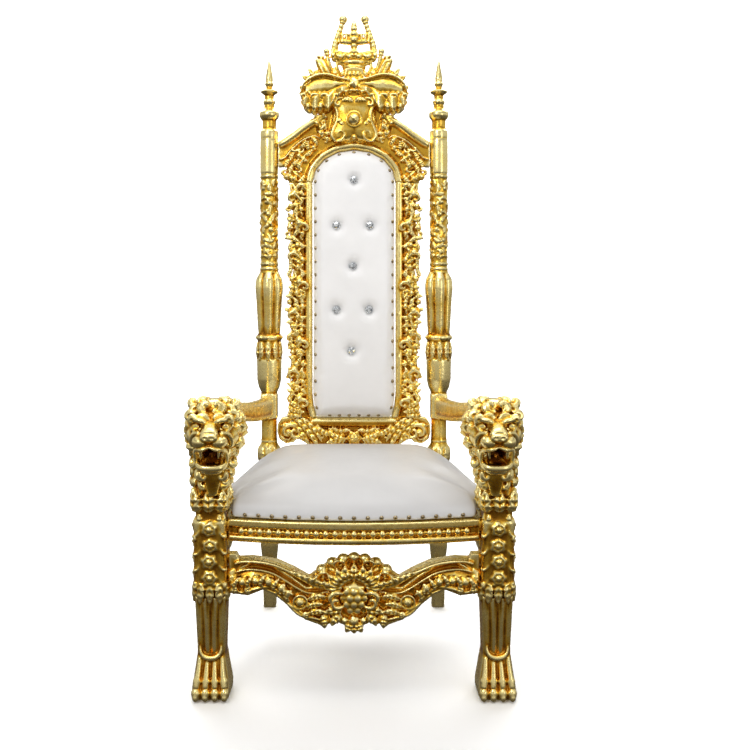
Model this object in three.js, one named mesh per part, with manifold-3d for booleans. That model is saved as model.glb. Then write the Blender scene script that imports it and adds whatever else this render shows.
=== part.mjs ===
import * as THREE from 'three'
import { mergeVertices } from 'three/addons/utils/BufferGeometryUtils.js'
import Module from 'manifold-3d'

const wasm = await Module()
wasm.setup()

// driving sizes in millimetres: x to the right of the photo, the chair faces -y, z up
const legSpacing = 704
const postSpacing = 516
const seatDepth = 545
const railTop = 443
const railHeight = 56
const railThickness = 30
const frontBow = 35
const columnWidth = 87
const armHeight = 619
const armBlockHeight = 70
const armWidth = 46
const postTop = 1668
const postRadius = 26.5
const rearLegWidth = 54
const headHeight = 176
const panelWidth = 251
const panelFoot = 586
const panelSpring = 1297
const archRise = 98
const boardThickness = 34
const plainMoulding = 23
const stileWidth = 74
const cushionRise = 100
const padRise = 30
const buttonRadius = 12
const beadRadius = 9
const beadPitch = 23
const crestTop = 1804
const apronTop = 356
const apronDrop = 199
const apronThickness = 26
const joint = 0.3
const backLean = THREE.MathUtils.degToRad(4.2)

// derived places
const legX = legSpacing / 2
const postX = postSpacing / 2
const frontY = -seatDepth / 2
const rearY = seatDepth / 2
const railBottom = railTop - railHeight
const legInnerX = legX - columnWidth / 2
const panelHalf = panelWidth / 2
const leanPivot = railTop - 13
const boardFront = rearY - boardThickness / 2
const outFront = new THREE.Vector3(0, -1, 0)

function vec(x, y, z) {
  return new THREE.Vector3(x, y, z)
}

function centroid(ring) {
  const middle = vec(0, 0, 0)
  ring.forEach((point) => middle.add(point))
  return middle.divideScalar(ring.length)
}

function geometryFrom(points, faces) {
  const geometry = new THREE.BufferGeometry()
  geometry.setAttribute('position', new THREE.Float32BufferAttribute(points.flatMap((p) => [p.x, p.y, p.z]), 3))
  geometry.setIndex(faces.flat())
  return facingOut(geometry)
}

function facingOut(geometry) {
  const position = geometry.getAttribute('position')
  const index = geometry.getIndex()
  const corners = [vec(0, 0, 0), vec(0, 0, 0), vec(0, 0, 0)]
  let volume = 0
  for (let i = 0; i < index.count; i += 3) {
    corners.forEach((corner, k) => corner.fromBufferAttribute(position, index.getX(i + k)))
    volume += corners[0].dot(corners[1].clone().cross(corners[2]))
  }
  if (volume < 0) {
    for (let i = 0; i < index.count; i += 3) {
      const kept = index.getX(i + 1)
      index.setX(i + 1, index.getX(i + 2))
      index.setX(i + 2, kept)
    }
  }
  return geometry
}

// a closed skin over rings of points; a ring of one point is a tip
function loft(openRings) {
  const rings = [...openRings]
  if (rings[0].length > 1) rings.unshift([centroid(rings[0])])
  if (rings.at(-1).length > 1) rings.push([centroid(rings.at(-1))])
  const faces = []
  let start = 0
  for (let r = 0; r + 1 < rings.length; r += 1) {
    const low = rings[r].length
    const high = rings[r + 1].length
    const upper = start + low
    const sides = Math.max(low, high)
    for (let s = 0; s < sides; s += 1) {
      const next = (s + 1) % sides
      if (low === 1) faces.push([start, upper + next, upper + s])
      else if (high === 1) faces.push([start + s, start + next, upper])
      else faces.push([start + s, start + next, upper + next], [start + s, upper + next, upper + s])
    }
    start = upper
  }
  return geometryFrom(rings.flat(), faces)
}

// one ring square to z; shape gives the radius as a share for an angle
function ringAt(z, radius, sides, shape, centre = [0, 0], depth = 1) {
  const ring = []
  for (let s = 0; s < sides; s += 1) {
    const angle = ((s + 0.5) / sides) * Math.PI * 2
    const reach = radius * shape(angle, s)
    ring.push(vec(centre[0] + reach * Math.cos(angle), centre[1] + depth * reach * Math.sin(angle), z))
  }
  return ring
}

const round = () => 1
const squarish = (angle) => (Math.abs(Math.cos(angle)) ** 6 + Math.abs(Math.sin(angle)) ** 6) ** (-1 / 6)
const lobed = (depth) => (angle, s) => (s % 2 ? 1 - depth : 1)
const twisted = (depth, turn) => (angle) => 1 + depth * Math.cos(3 * angle + turn)

// a tapering stem, leaf or lock along a path; outward is the side that its ridge faces
function sweep(path, widths, depths, outward, sides = 4) {
  const rings = path.map((point, i) => {
    if (widths[i] === 0) return [point]
    const along = path[Math.min(i + 1, path.length - 1)].clone().sub(path[Math.max(i - 1, 0)]).normalize()
    const across = along.clone().cross(outward).normalize()
    const ridge = across.clone().cross(along)
    const ring = []
    for (let s = 0; s < sides; s += 1) {
      const angle = (s / sides) * Math.PI * 2
      ring.push(
        point.clone()
          .addScaledVector(across, (Math.cos(angle) * widths[i]) / 2)
          .addScaledVector(ridge, (Math.sin(angle) * depths[i]) / 2)
      )
    }
    return ring
  })
  return loft(rings)
}

function bentPath(from, to, outward, bend, count) {
  const across = to.clone().sub(from).cross(outward).normalize()
  const path = []
  for (let i = 0; i <= count; i += 1) {
    const t = i / count
    path.push(from.clone().lerp(to, t).addScaledVector(across, bend * 4 * t * (1 - t)))
  }
  return path
}

function leaf(from, to, width, depth, outward = outFront, bend = 0) {
  return sweep(
    bentPath(from, to, outward, bend, 3),
    [0.45 * width, width, 0.75 * width, 0],
    [0.6 * depth, depth, 0.8 * depth, 0],
    outward
  )
}

function lock(from, to, width, depth, outward, bend = 0) {
  return sweep(bentPath(from, to, outward, bend, 3), [0, width, 0.8 * width, 0], [0, depth, 0.8 * depth, 0], outward)
}

function ellipsoid(centre, radii, sides, bands) {
  const rings = []
  for (let b = 0; b <= bands; b += 1) {
    const polar = (b / bands) * Math.PI
    const ring = []
    const count = b === 0 || b === bands ? 1 : sides
    for (let s = 0; s < count; s += 1) {
      const angle = ((s + 0.5) / sides) * Math.PI * 2
      ring.push(vec(
        centre.x + radii[0] * Math.sin(polar) * Math.cos(angle),
        centre.y + radii[1] * Math.sin(polar) * Math.sin(angle),
        centre.z - radii[2] * Math.cos(polar)
      ))
    }
    rings.push(ring)
  }
  return loft(rings)
}

// a domed stud seen from the front: base, shoulder and tip
function stud(centre, radius, height, outward = outFront, sides = 5) {
  const base = centre.clone().addScaledVector(outward, -0.3 * height)
  const shoulder = centre.clone().addScaledVector(outward, 0.55 * height)
  const tip = centre.clone().addScaledVector(outward, height)
  const up = vec(0, 0, 1)
  const across = outward.clone().cross(up).normalize()
  const rings = [[base, radius], [shoulder, 0.75 * radius]].map(([middle, reach]) => {
    const ring = []
    for (let s = 0; s < sides; s += 1) {
      const angle = ((s + 0.25) / sides) * Math.PI * 2
      ring.push(middle.clone().addScaledVector(across, reach * Math.cos(angle)).addScaledVector(up, reach * Math.sin(angle)))
    }
    return ring
  })
  return loft([...rings, [tip]])
}

// a flower with four petals round a raised heart
function rose(centre, radius, height, outward = outFront) {
  const up = vec(0, 0, 1)
  const across = outward.clone().cross(up).normalize()
  const levels = [[-0.2, 1, 0.3], [0.65, 0.8, 0.25]]
  const rings = levels.map(([rise, share, cut]) => {
    const middle = centre.clone().addScaledVector(outward, rise * height)
    const ring = []
    for (let s = 0; s < 8; s += 1) {
      const angle = ((s + 0.5) / 8) * Math.PI * 2
      const reach = radius * share * (s % 2 ? 1 : 1 - cut)
      ring.push(middle.clone().addScaledVector(across, reach * Math.cos(angle)).addScaledVector(up, reach * Math.sin(angle)))
    }
    return ring
  })
  return loft([...rings, [centre.clone().addScaledVector(outward, 1.1 * height)]])
}

// a flat board cut to an outline of [x, z] points
function board(outline, front, back) {
  const shape = new THREE.Shape(outline.map(([x, z]) => new THREE.Vector2(x, z)))
  const geometry = new THREE.ExtrudeGeometry(shape, { depth: back - front, bevelEnabled: false, curveSegments: 1 })
  geometry.rotateX(Math.PI / 2)
  geometry.translate(0, back, 0)
  return geometry
}

function bothHalves(half) {
  return [...half, ...half.filter(([x]) => x > 0).map(([x, z]) => [-x, z]).reverse()]
}

function mirrored(geometry) {
  const copy = geometry.clone()
  copy.scale(-1, 1, 1)
  return facingOut(copy)
}

// a moulding with one profile; each station holds a point and the direction away from the panel
function moulding(stations, profile) {
  return loft(stations.map(({ at, out }) => profile.map(([across, rise]) =>
    at.clone().addScaledVector(out, across).addScaledVector(outFront, rise))))
}

function solidOf(geometry) {
  const bare = geometry.clone()
  bare.deleteAttribute('normal')
  bare.deleteAttribute('uv')
  const merged = facingOut(mergeVertices(bare, 1e-4))
  return new wasm.Manifold(new wasm.Mesh({
    numProp: 3,
    vertProperties: new Float32Array(merged.getAttribute('position').array),
    triVerts: new Uint32Array(merged.getIndex().array)
  }))
}

function geometryOf(solid) {
  const mesh = solid.getMesh()
  const geometry = new THREE.BufferGeometry()
  geometry.setAttribute('position', new THREE.BufferAttribute(new Float32Array(mesh.vertProperties), 3))
  geometry.setIndex(new THREE.BufferAttribute(new Uint32Array(mesh.triVerts), 1))
  return geometry
}

function joined(pieces) {
  return pieces.map(solidOf).reduce((whole, piece) => whole.add(piece))
}

// leans everything above the pivot back with the chair back
function leaned(geometry) {
  const position = geometry.getAttribute('position')
  for (let i = 0; i < position.count; i += 1) {
    const rise = position.getZ(i) - leanPivot
    if (rise <= 0) continue
    const deep = position.getY(i) - rearY
    position.setY(i, rearY + deep * Math.cos(backLean) + rise * Math.sin(backLean))
    position.setZ(i, leanPivot + rise * Math.cos(backLean) - deep * Math.sin(backLean))
  }
  return geometry
}

// rear post: leg, arm block, bulb, lobed vase, carved column, ring and spire

const blockTop = armHeight + armBlockHeight / 2
const blockFoot = armHeight - armBlockHeight / 2
const blockHalf = 25.5

function postRing(share, size, shape = round, sides = 12) {
  return ringAt(blockTop + share * (postTop - blockTop), size * postRadius, sides, shape, [postX, rearY])
}

function rearLegRings() {
  const half = rearLegWidth / 2
  const rows = [[0, 0.7], [0.38 * railBottom, 0.8], [0.5 * railBottom, 0.98], [railTop, 1]]
  const rings = rows.map(([z, share]) => ringAt(z, half * share, 12, squarish, [postX, rearY]))
  const baseTop = blockFoot - 0.54 * (blockFoot - railTop)
  rings.push(
    ringAt(railTop + 6, 1.2 * postRadius, 12, lobed(0.12), [postX, rearY]),
    ringAt(baseTop - 22, 1.3 * postRadius, 12, lobed(0.16), [postX, rearY]),
    ringAt(baseTop, 0.87 * postRadius, 12, round, [postX, rearY]),
    ringAt(blockFoot - 2, 0.87 * postRadius, 12, round, [postX, rearY]),
    ringAt(blockFoot, blockHalf, 12, squarish, [postX, rearY]),
    ringAt(blockTop, blockHalf, 12, squarish, [postX, rearY])
  )
  return rings
}

function carvedColumnRings() {
  const rings = []
  const rows = 7
  for (let row = 0; row <= rows; row += 1) {
    rings.push(postRing(0.405 + (0.235 * row) / rows, 0.97, twisted(0.09, 1.3 * row)))
  }
  return rings
}

function vaseRings() {
  const cup = lobed(0.1)
  const flutes = lobed(0.2)
  return [
    postRing(0.006, 0.9), postRing(0.022, 1.2), postRing(0.045, 1.4), postRing(0.13, 1.4, cup), postRing(0.163, 1.3),
    postRing(0.17, 1.47), postRing(0.18, 1.3), postRing(0.21, 1.43, flutes), postRing(0.272, 1.52, flutes),
    postRing(0.32, 1.7, flutes), postRing(0.351, 1.5, flutes), postRing(0.37, 1.02),
    postRing(0.383, 0.87), postRing(0.392, 1.02)
  ]
}

function upperRings() {
  return [
    postRing(0.649, 1.03), postRing(0.658, 0.94), postRing(0.667, 1.03), postRing(0.762, 1.03), postRing(0.765, 0.93),
    postRing(0.769, 1.01), postRing(0.789, 1.01), postRing(0.793, 0.8), postRing(0.8215, 0.78),
    postRing(0.832, 1.06), postRing(0.845, 1.06), postRing(0.858, 0.7)
  ]
}

function spireRings() {
  const rows = [[0.85, 0.6], [0.868, 0.58], [0.874, 0.68], [0.884, 0.56], [0.897, 0.56], [0.904, 0.98], [0.911, 0.9],
    [0.916, 0.38], [0.927, 0.32], [0.937, 0.54], [0.946, 0.53], [0.97, 0.28]]
  return [...rows.map(([share, size]) => postRing(share, size, round, 8)), [vec(postX, rearY, postTop)]]
}

function rearPost() {
  const shaft = loft([...rearLegRings(), ...vaseRings(), ...carvedColumnRings(), ...upperRings()])
  return leaned(geometryOf(joined([shaft, loft(spireRings())])))
}

// front leg: paw, fluted shaft, collar, rose column, cuff, mane and lion head, built round its own axis

const columnHalf = columnWidth / 2
const columnTop = railTop + 16
const columnFoot = 0.635 * railTop
const headInset = 13
const cuffFlare = 1.14
const cuffHalf = 0.94 * cuffFlare * columnHalf
const headCentre = vec(-headInset, -14, columnTop + 1.16 * headHeight)
const maneBack = frontY + 0.36 * headHeight

// a square ring whose front side has four swellings: toes and tendons on the paw, flutes on the shaft
function pawRing(z, half, front, groove) {
  const ring = []
  for (let i = 0; i <= 8; i += 1) {
    const across = -1 + i / 4
    const inward = i % 2 ? 0 : groove
    const round = 0.12 * across * across * half
    ring.push(vec(across * half, front + inward + round, z))
  }
  for (const [across, deep] of [[1.05, 0.1], [0.94, 0.85], [0.4, 1], [-0.4, 1], [-0.94, 0.85], [-1.05, 0.1]]) {
    ring.push(vec(across * half, deep * half, z))
  }
  return ring
}

function pawAndShaft() {
  const ankle = 0.225 * railTop
  const shaftTop = 0.56 * railTop
  const rows = [[0, 1.02, -54, 5], [12, 1.08, -59, 9], [0.34 * ankle, 1.06, -57, 11], [0.5 * ankle, 0.96, -47, 8],
    [ankle, 0.75, -33, 3], [1.1 * ankle, 0.76, -35, 5], [shaftTop, 0.9, -39, 5]]
  const skin = loft(rows.map(([z, size, front, groove]) => pawRing(z, size * columnHalf, front, groove)))
  const lipHalf = 0.55 * columnHalf
  const lip = sweep(
    [vec(-lipHalf, -31, ankle + 26), vec(-0.7 * lipHalf, -33, ankle + 8), vec(0.7 * lipHalf, -33, ankle + 8),
      vec(lipHalf, -31, ankle + 26)], [4, 10, 10, 4], [8, 15, 15, 8], outFront)
  return [skin, lip]
}

function leafCollar(foot, top, size, flare) {
  const rows = [ringAt(foot, size * flare, 12, squarish), ringAt(top, size, 12, squarish)]
  rows[0].forEach((point, s) => {
    point.z += s % 2 ? 0.35 * (top - foot) : 0
  })
  return loft(rows)
}

function columnPieces() {
  const top = columnTop - 14
  const height = top - columnFoot
  const half = 0.9 * columnHalf
  const rows = 7
  const rings = []
  for (let row = 0; row <= rows; row += 1) {
    const leafy = (angle, s) => squarish(angle) * (Math.sin(angle) < -0.75 ? 1 : 1 + 0.09 * ((s + row) % 2))
    rings.push(ringAt(columnFoot - 4 + ((height + 4) * row) / rows, half, 12, leafy))
  }
  const pieces = [loft(rings), leafCollar(0.51 * railTop, columnFoot, 0.96 * columnHalf, 1.08),
    loft([ringAt(top - 6, 0.8 * half, 8, squarish), ringAt(columnTop + 20, 0.86 * half, 8, squarish)])]
  for (let row = 0; row < 4; row += 1) {
    pieces.push(rose(vec(-3, -half + 1, columnFoot + height * (0.12 + 0.255 * row)), 18, 10))
  }
  return pieces
}

function chestPieces() {
  const cuffFoot = columnTop + 10
  const rows = [[0.16, 0.84, 0], [0.32, 0.92, 0.15], [0.46, 1, 0.3], [0.6, 1.1, 0.5], [0.75, 1.2, 0.7], [0.92, 1.26, 0.95]]
  const tufted = (row) => (angle, s) => 1 - 0.13 * ((s + row) % 2)
  const rings = rows.map(([rise, size, shift], row) => ringAt(
    cuffFoot + rise * headHeight, size * 1.06 * columnHalf, 12, tufted(row),
    [shift * headCentre.x, shift * headCentre.y + 2], 0.95))
  return [leafCollar(cuffFoot, cuffFoot + 0.2 * headHeight, cuffHalf / cuffFlare, cuffFlare), loft(rings)]
}

// places on the head are shares of its height from the head's centre
function onHead(x, y, z) {
  return headCentre.clone().add(vec(x, y, z).multiplyScalar(headHeight))
}

// the mane is a skin of rings from the nape to the face, with tufts that stand out by turns
function mane() {
  const rows = [[0.34, 0.2, 0], [0.2, 0.4, 1], [0.05, 0.48, 1], [-0.09, 0.46, 1], [-0.2, 0.38, 0], [-0.3, 0.24, 0]]
  return loft(rows.map(([y, reach, tufts], row) => {
    const ring = []
    for (let s = 0; s < 14; s += 1) {
      const angle = ((s + 0.5) / 14) * Math.PI * 2
      const far = reach * (1 - 0.14 * tufts * ((s + row) % 2)) * 0.98
      ring.push(onHead(far * Math.cos(angle) * 0.86, y, far * Math.sin(angle) * 1.06))
    }
    return ring
  }))
}

function headSolid() {
  const h = headHeight
  const pieces = [
    mane(),
    ellipsoid(onHead(0, -0.3, 0.03), [0.19 * h, 0.24 * h, 0.13 * h], 8, 4),
    ellipsoid(onHead(0, -0.26, -0.29), [0.17 * h, 0.2 * h, 0.09 * h], 8, 3),
    sweep([onHead(0, -0.2, 0.3), onHead(0, -0.4, 0.18), onHead(0, -0.53, 0.1), onHead(0, -0.57, 0.05)],
      [0.1 * h, 0.14 * h, 0.17 * h, 0], [0.1 * h, 0.14 * h, 0.12 * h, 0], outFront, 4)
  ]
  for (const side of [-1, 1]) {
    pieces.push(lock(onHead(0.04 * side, -0.36, 0.22), onHead(0.33 * side, -0.2, 0.25), 0.13 * h, 0.16 * h, outFront))
    pieces.push(ellipsoid(onHead(0.16 * side, -0.3, 0.13), [0.06 * h, 0.05 * h, 0.045 * h], 6, 3))
  }
  const mouth = ellipsoid(onHead(0, -0.42, -0.15), [0.15 * h, 0.26 * h, 0.09 * h], 8, 3)
  return joined(pieces).subtract(solidOf(mouth))
}

function fangs() {
  return [-1, 1].map((side) =>
    lock(onHead(0.1 * side, -0.42, -0.03), onHead(0.09 * side, -0.43, -0.2), 8, 10, outFront))
}

function frontLeg() {
  const pieces = [...pawAndShaft(), ...columnPieces(), ...chestPieces()]
  const behind = board([[-200, 0], [200, 0], [200, postTop], [-200, postTop]], maneBack - frontY, 200)
  const leg = geometryOf(joined(pieces).add(headSolid()).add(joined(fangs())).subtract(solidOf(behind)))
  leg.translate(legX, frontY, 0)
  return leg
}

// seat frame

function bowAt(x) {
  return frontBow * (1 - (x / legInnerX) ** 2)
}

function frontRail() {
  const half = legInnerX - joint
  const face = frontY - 11
  const segments = 10
  const band = railTop - 0.3 * railHeight
  const lip = railBottom + 0.3 * railHeight
  const rings = []
  for (let i = 0; i <= segments; i += 1) {
    const x = -half + (2 * half * i) / segments
    const y = face - bowAt(x)
    rings.push([[face + railThickness, railBottom], [face + railThickness, railTop], [y - 4, railTop], [y - 5, band],
      [y, band - 2], [y, lip + 2], [y - 6, lip - 2], [y - 7, railBottom + 5], [y - 2, railBottom]
    ].map(([deep, z]) => vec(x, deep, z)))
  }
  const pieces = [loft(rings)]
  const count = Math.floor((half - beadRadius) / beadPitch)
  for (let i = -count; i <= count; i += 1) {
    const x = i * beadPitch
    pieces.push(stud(vec(x, face - bowAt(x) + 1, (band + lip) / 2), beadRadius, 7, outFront, 4))
  }
  return geometryOf(joined(pieces))
}

function sideRail() {
  const front = frontY + columnHalf
  const rear = rearY - rearLegWidth / 2 - 1
  const frontX = legX - 22
  const rearX = postX + 6
  const rows = [[0, 0.62], [0.14, 0.3], [0.3, 0.03], [0.5, 0], [0.7, 0.03], [0.86, 0.25], [1, 0.6]]
  return loft(rows.map(([share, drop]) => {
    const y = front + joint + (rear - front - joint) * share
    const x = frontX + (rearX - frontX) * share
    const half = railThickness / 2
    return [[x - half, railTop], [x + half, railTop], [x + half, railBottom - drop * railHeight * 1.4],
      [x - half, railBottom - drop * railHeight * 1.4]].map(([across, z]) => vec(across, y, z))
  }))
}

function backRail() {
  const half = postX - rearLegWidth / 2 - 1
  return board([[-half, railBottom], [half, railBottom], [half, railTop], [-half, railTop]], rearY - 36, rearY - 6)
}

// arm from the lion's mane to the block of the post
function arm() {
  const end = rearY + (armHeight - leanPivot) * Math.tan(backLean) - blockHalf - joint - 1
  const start = maneBack + joint
  const rows = [[0, 0.5, 48], [0.25, 0.42, 50], [0.6, 0.16, 54], [0.88, 0.02, 60], [1, 0, 62]]
  const rings = rows.map(([share, rise, height]) => {
    const x = legX - 16 + (postX - legX + 22) * share
    const z = armHeight + rise * 126
    const half = armWidth / 2
    return [[-0.7, -0.5], [-1, -0.36], [-0.84, -0.2], [-1, 0], [-0.95, 0.32], [-0.5, 0.5],
      [0.5, 0.5], [0.95, 0.32], [1, 0], [0.84, -0.2], [1, -0.36], [0.7, -0.5]].map(([across, up]) => {
      const height2 = z + up * height
      const y = start + (end - start) * share + share * (height2 - armHeight) * Math.tan(backLean)
      return vec(x + across * half, y, height2)
    })
  })
  return loft(rings)
}

// front apron; places are shares of the half width and of the drop

const apronHalf = legInnerX - joint
const apronY = frontY - 4

function onApron(x, z, rise = 0) {
  return vec(x * apronHalf, apronY - apronThickness / 2 - rise, apronTop - z * apronDrop)
}

function apron() {
  const half = [[0, 1], [0.06, 0.92], [0.16, 0.85], [0.2, 0.88], [0.235, 0.95], [0.28, 0.9], [0.385, 0.84],
    [0.475, 0.68], [0.54, 0.54], [0.62, 0.44], [0.72, 0.45], [0.85, 0.53], [0.988, 0.5], [0.988, 0.35], [1, 0.34], [1, 0], [0.94, 0], [0.92, 0.06],
    [0.81, 0.05], [0.61, 0.1], [0.47, 0.2], [0.36, 0.3], [0.29, 0.18], [0.23, 0.11], [0.12, 0.07], [0.05, 0.04], [0, 0.035]]
  const outline = bothHalves(half.map(([x, z]) => [x * apronHalf, apronTop - z * apronDrop]))
  const pieces = [board(outline, apronY - apronThickness / 2, apronY + apronThickness / 2)]
  const decorated = [
    sweep([onApron(0.93, 0.2), onApron(0.8, 0.08, 2), onApron(0.64, 0.14, 3), onApron(0.5, 0.28, 3), onApron(0.38, 0.42, 3),
      onApron(0.26, 0.4, 2), onApron(0.16, 0.36)], [8, 14, 15, 15, 14, 12, 6], [8, 16, 18, 18, 16, 14, 8], outFront),
    sweep([onApron(0.9, 0.44), onApron(0.76, 0.4, 2), onApron(0.63, 0.48, 3), onApron(0.5, 0.64, 3), onApron(0.38, 0.78, 2),
      onApron(0.28, 0.8)], [6, 12, 14, 14, 12, 6], [8, 14, 16, 16, 14, 8], outFront),
    leaf(onApron(0.9, 0.28), onApron(0.6, 0.3), 26, 18, outFront, 8),
    leaf(onApron(0.25, 0.3), onApron(0.42, 0.24), 24, 18, outFront, 6),
    leaf(onApron(0.18, 0.5), onApron(0.36, 0.58), 26, 20, outFront, 6),
    leaf(onApron(0.2, 0.7), onApron(0.25, 0.95), 26, 18),
    rose(onApron(0.45, 0.68, -1), 14, 10),
    rose(onApron(0.97, 0.25, -2), 17, 8),
    leaf(onApron(0.06, 0.3), onApron(0.24, 0.09), 28, 20, outFront, 4)
  ]
  pieces.push(...decorated, ...decorated.map(mirrored))
  pieces.push(leaf(onApron(0, 0.34), onApron(0, 0.02), 30, 24))
  pieces.push(ellipsoid(onApron(0, 0.55), [38, 16, 42], 8, 4))
  for (let i = -1; i <= 1; i += 1) {
    pieces.push(stud(onApron(0.075 * i, 0.83, 2), 12, 13))
  }
  pieces.push(leaf(onApron(0, 0.8), onApron(0, 1), 26, 18))
  return geometryOf(clippedLevel(joined(pieces), 0, railBottom, apronHalf))
}

// chair back; built upright, then leaned

function onBack(x, z, rise = 0) {
  return vec(x, boardFront - rise, z)
}

const waist = 0.1 * (panelSpring - panelFoot)

function panelHalfAt(z) {
  const low = Math.max(0, 1 - (z - panelFoot) / waist)
  return panelHalf - 13 * low * low
}

function stileStations(inset) {
  const foot = panelFoot + joint / 2
  return [0, 0.45, 1].map((share) => foot + share * waist).concat([panelSpring - joint / 2])
    .map((z) => ({ at: vec(panelHalfAt(z) + inset, boardFront, z), out: vec(1, 0, 0) }))
}

const plainProfile = [[0, -6], [0, 3], [5, 11], [plainMoulding - 6, 12], [plainMoulding, 5], [plainMoulding, -6]]

function backStile() {
  const foot = panelFoot + joint / 2
  const top = panelSpring - joint / 2
  const height = top - foot
  const outer = panelHalf + stileWidth
  const edge = [[0, 14], [0.06, 2], [0.13, -6], [0.2, 0], [0.3, -4], [0.38, 2], [0.45, -3], [0.51, 7], [0.57, 2], [0.63, -6],
    [0.7, -3], [0.78, 5], [0.85, -5], [0.92, -2], [1, 8]]
  const inner = stileStations(1).map(({ at }) => [at.x, at.z])
  const outline = [...inner, ...edge.map(([share, bump]) => [outer - 10 + bump, foot + share * height]).reverse()]
  const pieces = [board(outline, boardFront, boardFront + boardThickness)]
  pieces.push(moulding(stileStations(0.4), plainProfile))
  const middle = panelHalf + plainMoulding + (stileWidth - plainMoulding) / 2 - 3
  const leaves = 8
  for (let i = 0; i < leaves; i += 1) {
    const z = foot + (height * (i + 0.1)) / leaves
    const turn = i % 2 ? 1 : -1
    pieces.push(leaf(onBack(middle - 12 * turn, z), onBack(middle + 20 * turn, z + (0.8 * height) / leaves), 30, 24,
      outFront, 6 * turn))
    if (i % 2) pieces.push(stud(onBack(middle + 12, z + 6, 1), 12, 13))
  }
  return leaned(geometryOf(clippedLevel(joined(pieces), foot, top)))
}

// trims a joined solid square at a foot, a top and both sides
function clippedLevel(solid, foot, top, half = legSpacing) {
  const slab = board([[-half, foot], [half, foot], [half, top], [-half, top]], -seatDepth, seatDepth)
  return solid.intersect(solidOf(slab))
}

function lowerRail() {
  const top = panelFoot - joint / 2
  const postSide = postX - 0.87 * postRadius - joint - 2
  const half = [[0, top - 104], [120, top - 104], [136, top - 86], [152, top - 74], [168, top - 60], [182, top - 76],
    [206, top - 80], [226, top - 66], [postSide, top - 44], [postSide - 2, top - 20], [220, top - 4], [206, top]]
  const pieces = [board(bothHalves(half), boardFront, boardFront + boardThickness)]
  const barY = top - 14
  pieces.push(moulding([-1, -0.5, 0.5, 1].map((share) => ({ at: vec(share * 128, boardFront, barY), out: vec(0, 0, 1) })),
    [[-13, -6], [-13, 5], [-6, 12], [6, 12], [13, 5], [13, -6]]))
  const decorated = [
    leaf(onBack(34, top - 62), onBack(112, top - 30), 26, 22, outFront, 8),
    leaf(onBack(196, top - 14), onBack(118, top - 92), 24, 24, outFront, 6),
    leaf(onBack(160, top - 8), onBack(104, top - 66), 22, 20, outFront, 5),
    sweep([onBack(170, top - 40), onBack(190, top - 24, 2), onBack(218, top - 34, 2), onBack(220, top - 58, 2),
      onBack(198, top - 68, 2), onBack(186, top - 52)], [8, 13, 14, 14, 12, 6], [10, 18, 20, 20, 18, 10], outFront),
    stud(onBack(201, top - 48), 11, 12)
  ]
  pieces.push(...decorated, ...decorated.map(mirrored), rose(onBack(0, top - 62, 1), 24, 14))
  pieces.push(leaf(onBack(14, top - 78), onBack(42, top - 102), 20, 16), leaf(onBack(-14, top - 78), onBack(-42, top - 102), 20, 16))
  const foot = top - 104
  return leaned(geometryOf(clippedLevel(joined(pieces), foot, top)))
}

// crest: arch, shield, mantle and crown; heights run from the spring of the panel's arch to the crown

const archSteps = 8
const crestFoot = panelSpring + joint / 2
const crestHeight = crestTop - panelSpring
const postInner = postX - 1.03 * postRadius - joint - 1.5

function crestZ(share) {
  return panelSpring + share * crestHeight
}

function onCrest(x, share, rise = 0) {
  return onBack(x, crestZ(share), rise)
}

function archStations(inset, count) {
  const stations = []
  for (let i = 0; i <= count; i += 1) {
    const angle = (Math.PI * i) / count
    const out = vec(Math.cos(angle) * archRise, 0, Math.sin(angle) * panelHalf).normalize()
    const at = vec(Math.cos(angle) * panelHalf, boardFront, panelSpring + Math.sin(angle) * archRise)
    stations.push({ at: at.addScaledVector(out, inset), out })
  }
  return stations
}

function archBoard() {
  const outer = panelHalf + stileWidth
  const half = [[outer - 2, 0], [outer + 8, 0.05], [outer + 4, 0.1], [postInner, 0.094], [postInner, 0.242], [206, 0.258],
    [180, 0.3], [149, 0.346], [119, 0.382], [88, 0.414], [43, 0.45], [0, 0.46]]
  const right = half.map(([x, share]) => [x, crestZ(share)])
  const left = right.slice(0, -1).reverse().map(([x, z]) => [-x, z])
  const inner = archStations(1, archSteps).reverse().map(({ at }) => [at.x, at.z])
  return board([...right, ...left, ...inner], boardFront, boardFront + boardThickness)
}

function archRibs() {
  const rib = [[212, 0.235], [180, 0.278], [149, 0.325], [119, 0.362], [84, 0.395]].map(([x, share]) => onCrest(x, share, 3))
  const outerRib = sweep([onCrest(postInner - 4, 0.222), ...rib], [16, 18, 19, 19, 18, 16], [16, 22, 24, 24, 22, 16], outFront)
  return [outerRib]
}

function pocketLeaves() {
  return [
    leaf(onCrest(172, 0.11), onCrest(122, 0.25), 30, 26, outFront, -6),
    leaf(onCrest(156, 0.02), onCrest(198, 0.1), 32, 24, outFront, 4),
    leaf(onCrest(88, 0.26), onCrest(112, 0.41, 4), 26, 24, outFront, 4)
  ]
}

function shieldPieces() {
  const half = [[0, 0.248], [14, 0.234], [42, 0.234], [64, 0.26], [73, 0.31], [66, 0.38], [62, 0.44], [72, 0.5], [46, 0.52],
    [0, 0.505]]
  const outline = bothHalves(half.map(([x, share]) => [x, crestZ(share)]))
  const pieces = [board(outline, boardFront - 12, boardFront + 6), rose(onCrest(0, 0.345, 11), 25, 14)]
  const scrolls = [
    sweep([onCrest(36, 0.5, 12), onCrest(57, 0.43, 14), onCrest(62, 0.31, 14), onCrest(44, 0.26, 14)],
      [8, 13, 14, 8], [8, 17, 18, 10], outFront),
    stud(onCrest(20, 0.262, 12), 14, 11)
  ]
  return [...pieces, ...scrolls, ...scrolls.map(mirrored)]
}

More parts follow.
